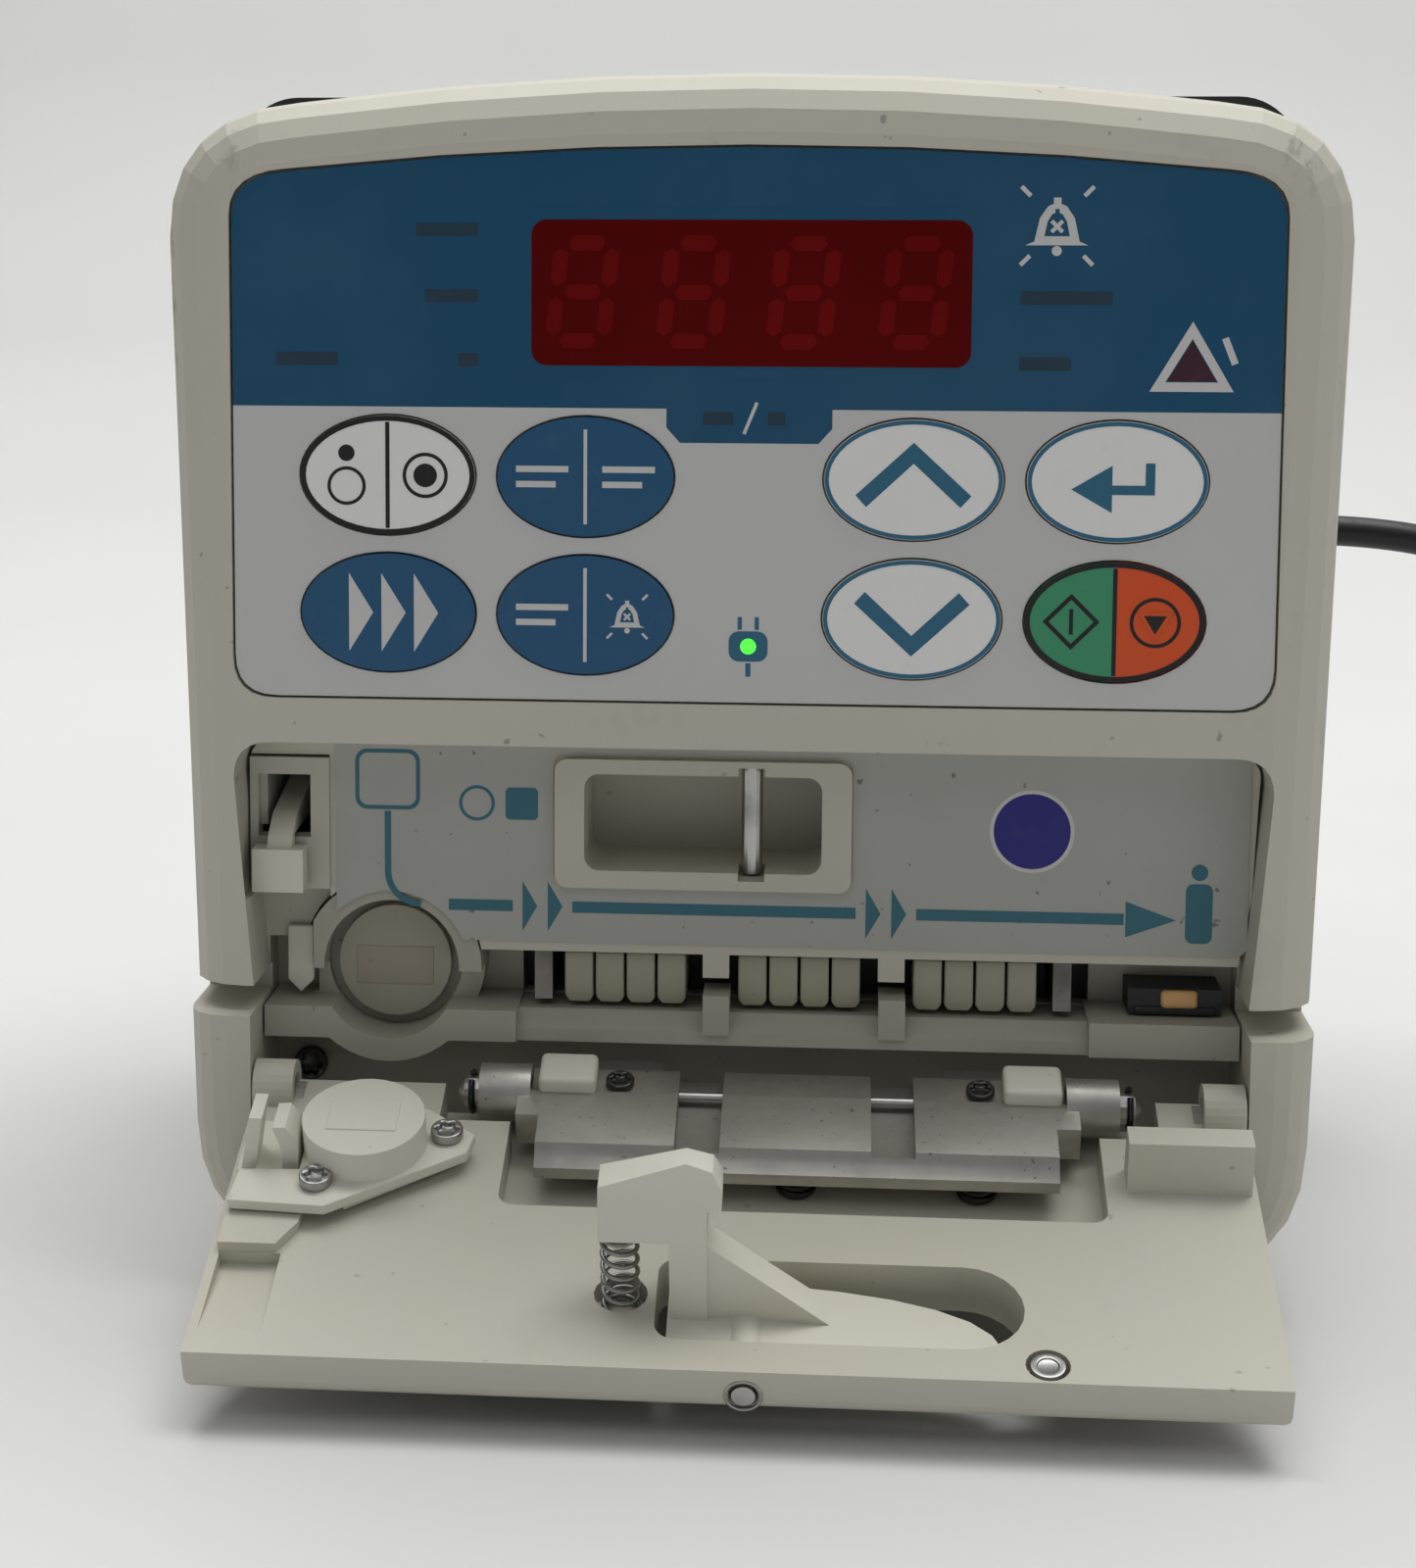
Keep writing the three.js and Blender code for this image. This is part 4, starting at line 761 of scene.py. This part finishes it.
printed("badge", [oval(BADGE_X, BADGE_Z, BADGE_RADIUS)], LABEL_FACE,
        ink("ink_ultramarine", (0.02, 0.015, 0.21)), thick=0.028)

# ---- The open door ----
# The door hangs open on its two pins. Its fittings are placed as if it were shut and are then swung
# open about the hinge with it.
OPEN_ANGLE = 110.3
INNER = -0.5  # depth of the shut door's inner face
hinge = (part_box("hinge_pin_left")[0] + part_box("hinge_pin_left")[1]) / 2
HINGE_LINE = Matrix.Translation((0, hinge.y, hinge.z))
DOOR_OPEN = HINGE_LINE @ Matrix.Rotation(math.radians(OPEN_ANGLE), 4, "X") @ HINGE_LINE.inverted()


def on_door(x, height, z):
    """The place on the open door of a fitting that looks out of its inner face when it is shut."""
    return DOOR_OPEN @ Matrix.Translation(at(x, INNER + height, z)) @ Matrix.Rotation(math.pi, 4, "Z")


# ---- Screws ----
# Zinc-plated pan heads with a six-lobed recess hold the boss's flange, and darker ones the bay's back
# wall, the platen and the rear cover. Each is turned with its seat in y = 0, looking along -Y.


def screw_head(radius, height, lobes=0.2):
    """The head; with no lobes its recess is a shallow round dish."""
    bpy.ops.mesh.primitive_cylinder_add(vertices=36, radius=radius / 1000, depth=height / 1000,
                                        location=(0, -height / 2000, 0), rotation=(math.pi / 2, 0, 0))
    piece = bpy.context.object
    bpy.ops.object.mode_set(mode="EDIT")
    bpy.ops.mesh.select_mode(type="FACE")
    bpy.ops.mesh.select_all(action="DESELECT")
    mesh = bmesh.from_edit_mesh(piece.data)
    front = max(mesh.faces, key=lambda face: face.calc_center_median().z)
    front.select = True
    bmesh.update_edit_mesh(piece.data)
    bpy.ops.mesh.inset(thickness=radius * 0.4 / 1000)
    mesh = bmesh.from_edit_mesh(piece.data)
    for vertex in next(face for face in mesh.faces if face.select).verts:
        lobe = 1 + lobes * math.cos(6 * math.atan2(vertex.co.y, vertex.co.x))
        vertex.co.x, vertex.co.y = vertex.co.x * lobe, vertex.co.y * lobe
    bmesh.update_edit_mesh(piece.data)
    sink = height * (0.55 if lobes else 0.12) / 1000
    bpy.ops.mesh.extrude_region_move(TRANSFORM_OT_translate={"value": (0, sink, 0)})
    bpy.ops.object.mode_set(mode="OBJECT")
    rim = piece.modifiers.new("rim", "BEVEL")
    rim.width, rim.segments, rim.angle_limit = radius * 0.14 / 1000, 3, math.radians(50)
    bpy.ops.object.modifier_apply(modifier="rim")
    bpy.ops.object.shade_smooth_by_angle(angle=math.radians(35))
    return piece


zinc = ground_steel("zinc_plate", (0.42, 0.42, 0.41), (1, 1, 1))
dark_zinc = ground_steel("blackened_screw", (0.10, 0.10, 0.10), (1, 1, 1))
settle(screw_head(2.1, 1.4), "wall_screw", dark_zinc,
       turn=Matrix.Translation(at(-55.2, 15.9, 10.6)))
for number, (x, z) in enumerate(((-48.3, 33.0), (-34.2, 23.9)), 1):
    settle(screw_head(1.9, 1.2), f"flange_screw_{number}", zinc, "door", on_door(x, 2.95, z))
for number, x in enumerate((-14.8, 28.2), 1):
    settle(screw_head(1.7, 0.9), f"platen_screw_{number}", dark_zinc, "platen",
           on_door(x, 1.72, 11.4))
back_y = (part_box("rear_cover")[1].y - PUMP_ZERO.y) * 1000
for number, (x, z) in enumerate(((-60, 2), (60, 2), (-60, 122), (60, 122)), 1):
    back = Matrix.Translation(at(x, back_y, z)) @ Matrix.Rotation(math.pi, 4, "Z")
    settle(screw_head(2.6, 1.2), f"cover_screw_{number}", dark_zinc, turn=back)

# ---- Springs and circlips ----
# Wound spring-steel wire: three springs under the platen, one under the latch's hook, and a circlip
# in a groove at each end of the platen's shaft.


def wire_form(name, points, wire, finish, body, turn):
    """Wire of one thickness bent along the points, closed at its ends; millimetres throughout."""
    curve = bpy.data.curves.new(name, "CURVE")
    curve.dimensions, curve.bevel_depth, curve.bevel_resolution = "3D", wire / 2000, 3
    curve.use_fill_caps = True
    spline = curve.splines.new("POLY")
    spline.points.add(len(points) - 1)
    for place, point in zip(spline.points, points):
        place.co = (*(at(*point)), 1)
    piece = bpy.data.objects.new(name, curve)
    scene.collection.objects.link(piece)
    bpy.ops.object.select_all(action="DESELECT")
    piece.select_set(True)
    bpy.context.view_layer.objects.active = piece
    bpy.ops.object.convert(target="MESH")
    bpy.ops.object.shade_smooth()
    return settle(bpy.context.object, name, finish, body, turn)


def coil_spring(name, x, z, radius, wire, low, high, turns, finish):
    """A compression spring standing on the door, its end turns closed up."""
    points = []
    for step in range(turns * 20 + 1):
        share = step / (turns * 20)
        rise = (share * turns - 1) / (turns - 2)
        angle = 2 * math.pi * turns * share
        points.append((x + radius * math.cos(angle),
                       INNER + low + wire / 2 + (high - low - wire) * min(1, max(0, rise)),
                       z + radius * math.sin(angle)))
    return wire_form(name, points, wire, finish, "door", DOOR_OPEN)


spring_wire = ground_steel("spring_wire", (0.34, 0.335, 0.32), (1, 1, 1))
black_wire = ground_steel("black_spring_wire", (0.05, 0.05, 0.052), (1, 1, 1))
PLATEN_SEAT, LATCH_SEAT = -4.1, -2.2  # the springs' feet, over the door's inner face
for number, x in enumerate((-14.6, 6.5, 27.5), 1):
    spring = coil_spring(f"platen_coil_{number}", x, 22.6, 2.05, 0.7, PLATEN_SEAT, -2.3, 3, black_wire)
    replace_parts(spring, f"platen_spring_{number}")
    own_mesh(spring)
spring = coil_spring("latch_coil", -12.3, 46.8, 1.95, 0.55, LATCH_SEAT, 8.6, 8, spring_wire)
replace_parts(spring, "latch_spring")
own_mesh(spring)
for number, x in enumerate((-32.6, 45.7), 1):
    loop = [(x, y, z) for y, z in oval(0, 12, 2.35, count=32, start=20, sweep_deg=320)]
    wire_form(f"circlip_{number}", loop, 0.75, black_wire, "door", DOOR_OPEN)

# ---- Eased mouldings ----
# The hook, clip, boss, lever, fingers and metal castings leave the tool with their edges rounded, so
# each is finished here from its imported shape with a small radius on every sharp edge.
EASE_ANGLE = math.radians(38)


def eased(node, radius, finish, body):
    """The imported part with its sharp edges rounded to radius, in millimetres."""
    piece = bpy.data.objects.new(f"{node}_eased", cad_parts[node].data.copy())
    scene.collection.objects.link(piece)
    bpy.ops.object.select_all(action="DESELECT")
    piece.select_set(True)
    bpy.context.view_layer.objects.active = piece
    bpy.ops.object.mode_set(mode="EDIT")
    bpy.ops.mesh.select_all(action="SELECT")
    bpy.ops.mesh.remove_doubles(threshold=0.00001)
    bpy.ops.mesh.dissolve_limited(angle_limit=math.radians(0.6))
    bpy.ops.object.mode_set(mode="OBJECT")
    edge = piece.modifiers.new("edge", "BEVEL")
    edge.width, edge.segments, edge.angle_limit = radius / 1000, 3, EASE_ANGLE
    bpy.ops.object.modifier_apply(modifier="edge")
    piece.modifiers.new("faces", "TRIANGULATE")
    bpy.ops.object.modifier_apply(modifier="faces")
    bpy.ops.object.shade_smooth_by_angle(angle=EASE_ANGLE)
    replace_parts(settle(piece, f"{node}_eased", finish, body), node)


eased("door_latch", 0.6, acetal, "latch")
eased("tube_clip", 0.4, acetal, "door")
eased("pressure_boss", 0.35, acetal, "door")
eased("clamp_lever", 0.5, acetal, "tube_lever")
eased("clamp_peg", 0.3, acetal, "pump")
eased("platen", 0.25, alloy, "platen")
eased("pole_clamp", 1.0, powder_coat, "pump")
for number in range(1, 13):
    eased(f"finger_{number}", 0.3, finger_plastic, f"finger_{number}")

# ---- Small fittings of the door and bay ----
# White acetal blocks that keep the platen on its shaft, pads on the boss and the pressure disc, the
# door magnet, a ring round the latch's pivot, and the amber lens and shoe of the air sensor.


def eased_block(name, size, place, ease, finish, body="pump", turn=None):
    """A block with its edges rounded by ease, millimetres; its place is its middle."""
    bpy.ops.mesh.primitive_cube_add(size=1, location=at(*place))
    piece = bpy.context.object
    piece.scale = tuple(side / 1000 for side in size)
    bpy.ops.object.transform_apply(location=False, rotation=False, scale=True)
    edges = piece.modifiers.new("edges", "BEVEL")
    edges.width, edges.segments = ease / 1000, 4
    bpy.ops.object.modifier_apply(modifier="edges")
    bpy.ops.object.shade_smooth_by_angle(angle=math.radians(40))
    return settle(piece, name, finish, body, turn)


for number, x in enumerate((-21.0, 34.3), 1):
    eased_block(f"shaft_block_{number}", (6.9, 2.6, 5.6), (x, INNER + 2.9, 11.3), 0.7,
                acetal, "platen", DOOR_OPEN)
eased_block("boss_pad", (8.2, 0.3, 5.4), (-43.6, INNER + 6.92, 25.7), 0.14,
            acetal, "door", DOOR_OPEN)
eased_block("disc_pad", (9.6, 0.24, 4.8), (-43.7, 10.98, 24.6), 0.11,
            moulded("disc_print", (0.37, 0.335, 0.28), soil=0.2))
settle(screw_head(1.9, 1.6, 0), "door_magnet", zinc, "door", on_door(33.7, -1.6, 55.8))
ring_points = [(x, y, 58.45) for x, y in [*oval(1.5, -3.8, 1.95, count=30), (1.5 + 1.95, -3.8)]]
wire_form("pivot_ring", ring_points, 0.4, zinc, "door", DOOR_OPEN)


def amber():
    """The sensor's translucent amber window."""
    finish = Finish("amber_lens", Specular_IOR_Level=0.5)
    cloud = finish.noise(500, 3).within(0.3, 0.7)
    finish.set("Base Color", finish.blend(cloud, (0.62, 0.33, 0.10), (0.72, 0.42, 0.16)))
    finish.set("Roughness", 0.25 + cloud * 0.1)
    finish.bump(cloud, 0.1, 0.00003)
    return finish


eased_block("sensor_lens", (4.4, 1.4, 2.2), (52.3, 9.0, 23.2), 0.55, amber())
eased_block("sensor_shoe", (9.8, 0.8, 1.0), (51.8, 9.0, 21.75), 0.3, fine_black)

# ---- Back of the rear cover ----
# A louvred panel moulded in the cover, and a blank rating plate with ruled lines.
for row in range(9):
    eased_block(f"louvre_{row + 1}", (44, 1.2, 1.9), (-30, back_y + 0.4, 34 + 4.4 * row), 0.5,
                fine_black)
plate_silver = ink("plate_silver", (0.46, 0.46, 0.45))
PLATE_X, PLATE_Z, RULE_LONG = 28, 34, 38
eased_block("rating_plate", (46, 0.4, 26), (PLATE_X, back_y + 0.2, PLATE_Z), 0.15,
            plate_silver)
for row, wide in enumerate((RULE_LONG, 30, RULE_LONG, 24)):
    place = (PLATE_X - (RULE_LONG - wide) / 2, back_y + 0.42, PLATE_Z + 8 - 5 * row)
    eased_block(f"plate_rule_{row + 1}", (wide, 0.16, 1.1), place, 0.06, INK_BLACK)
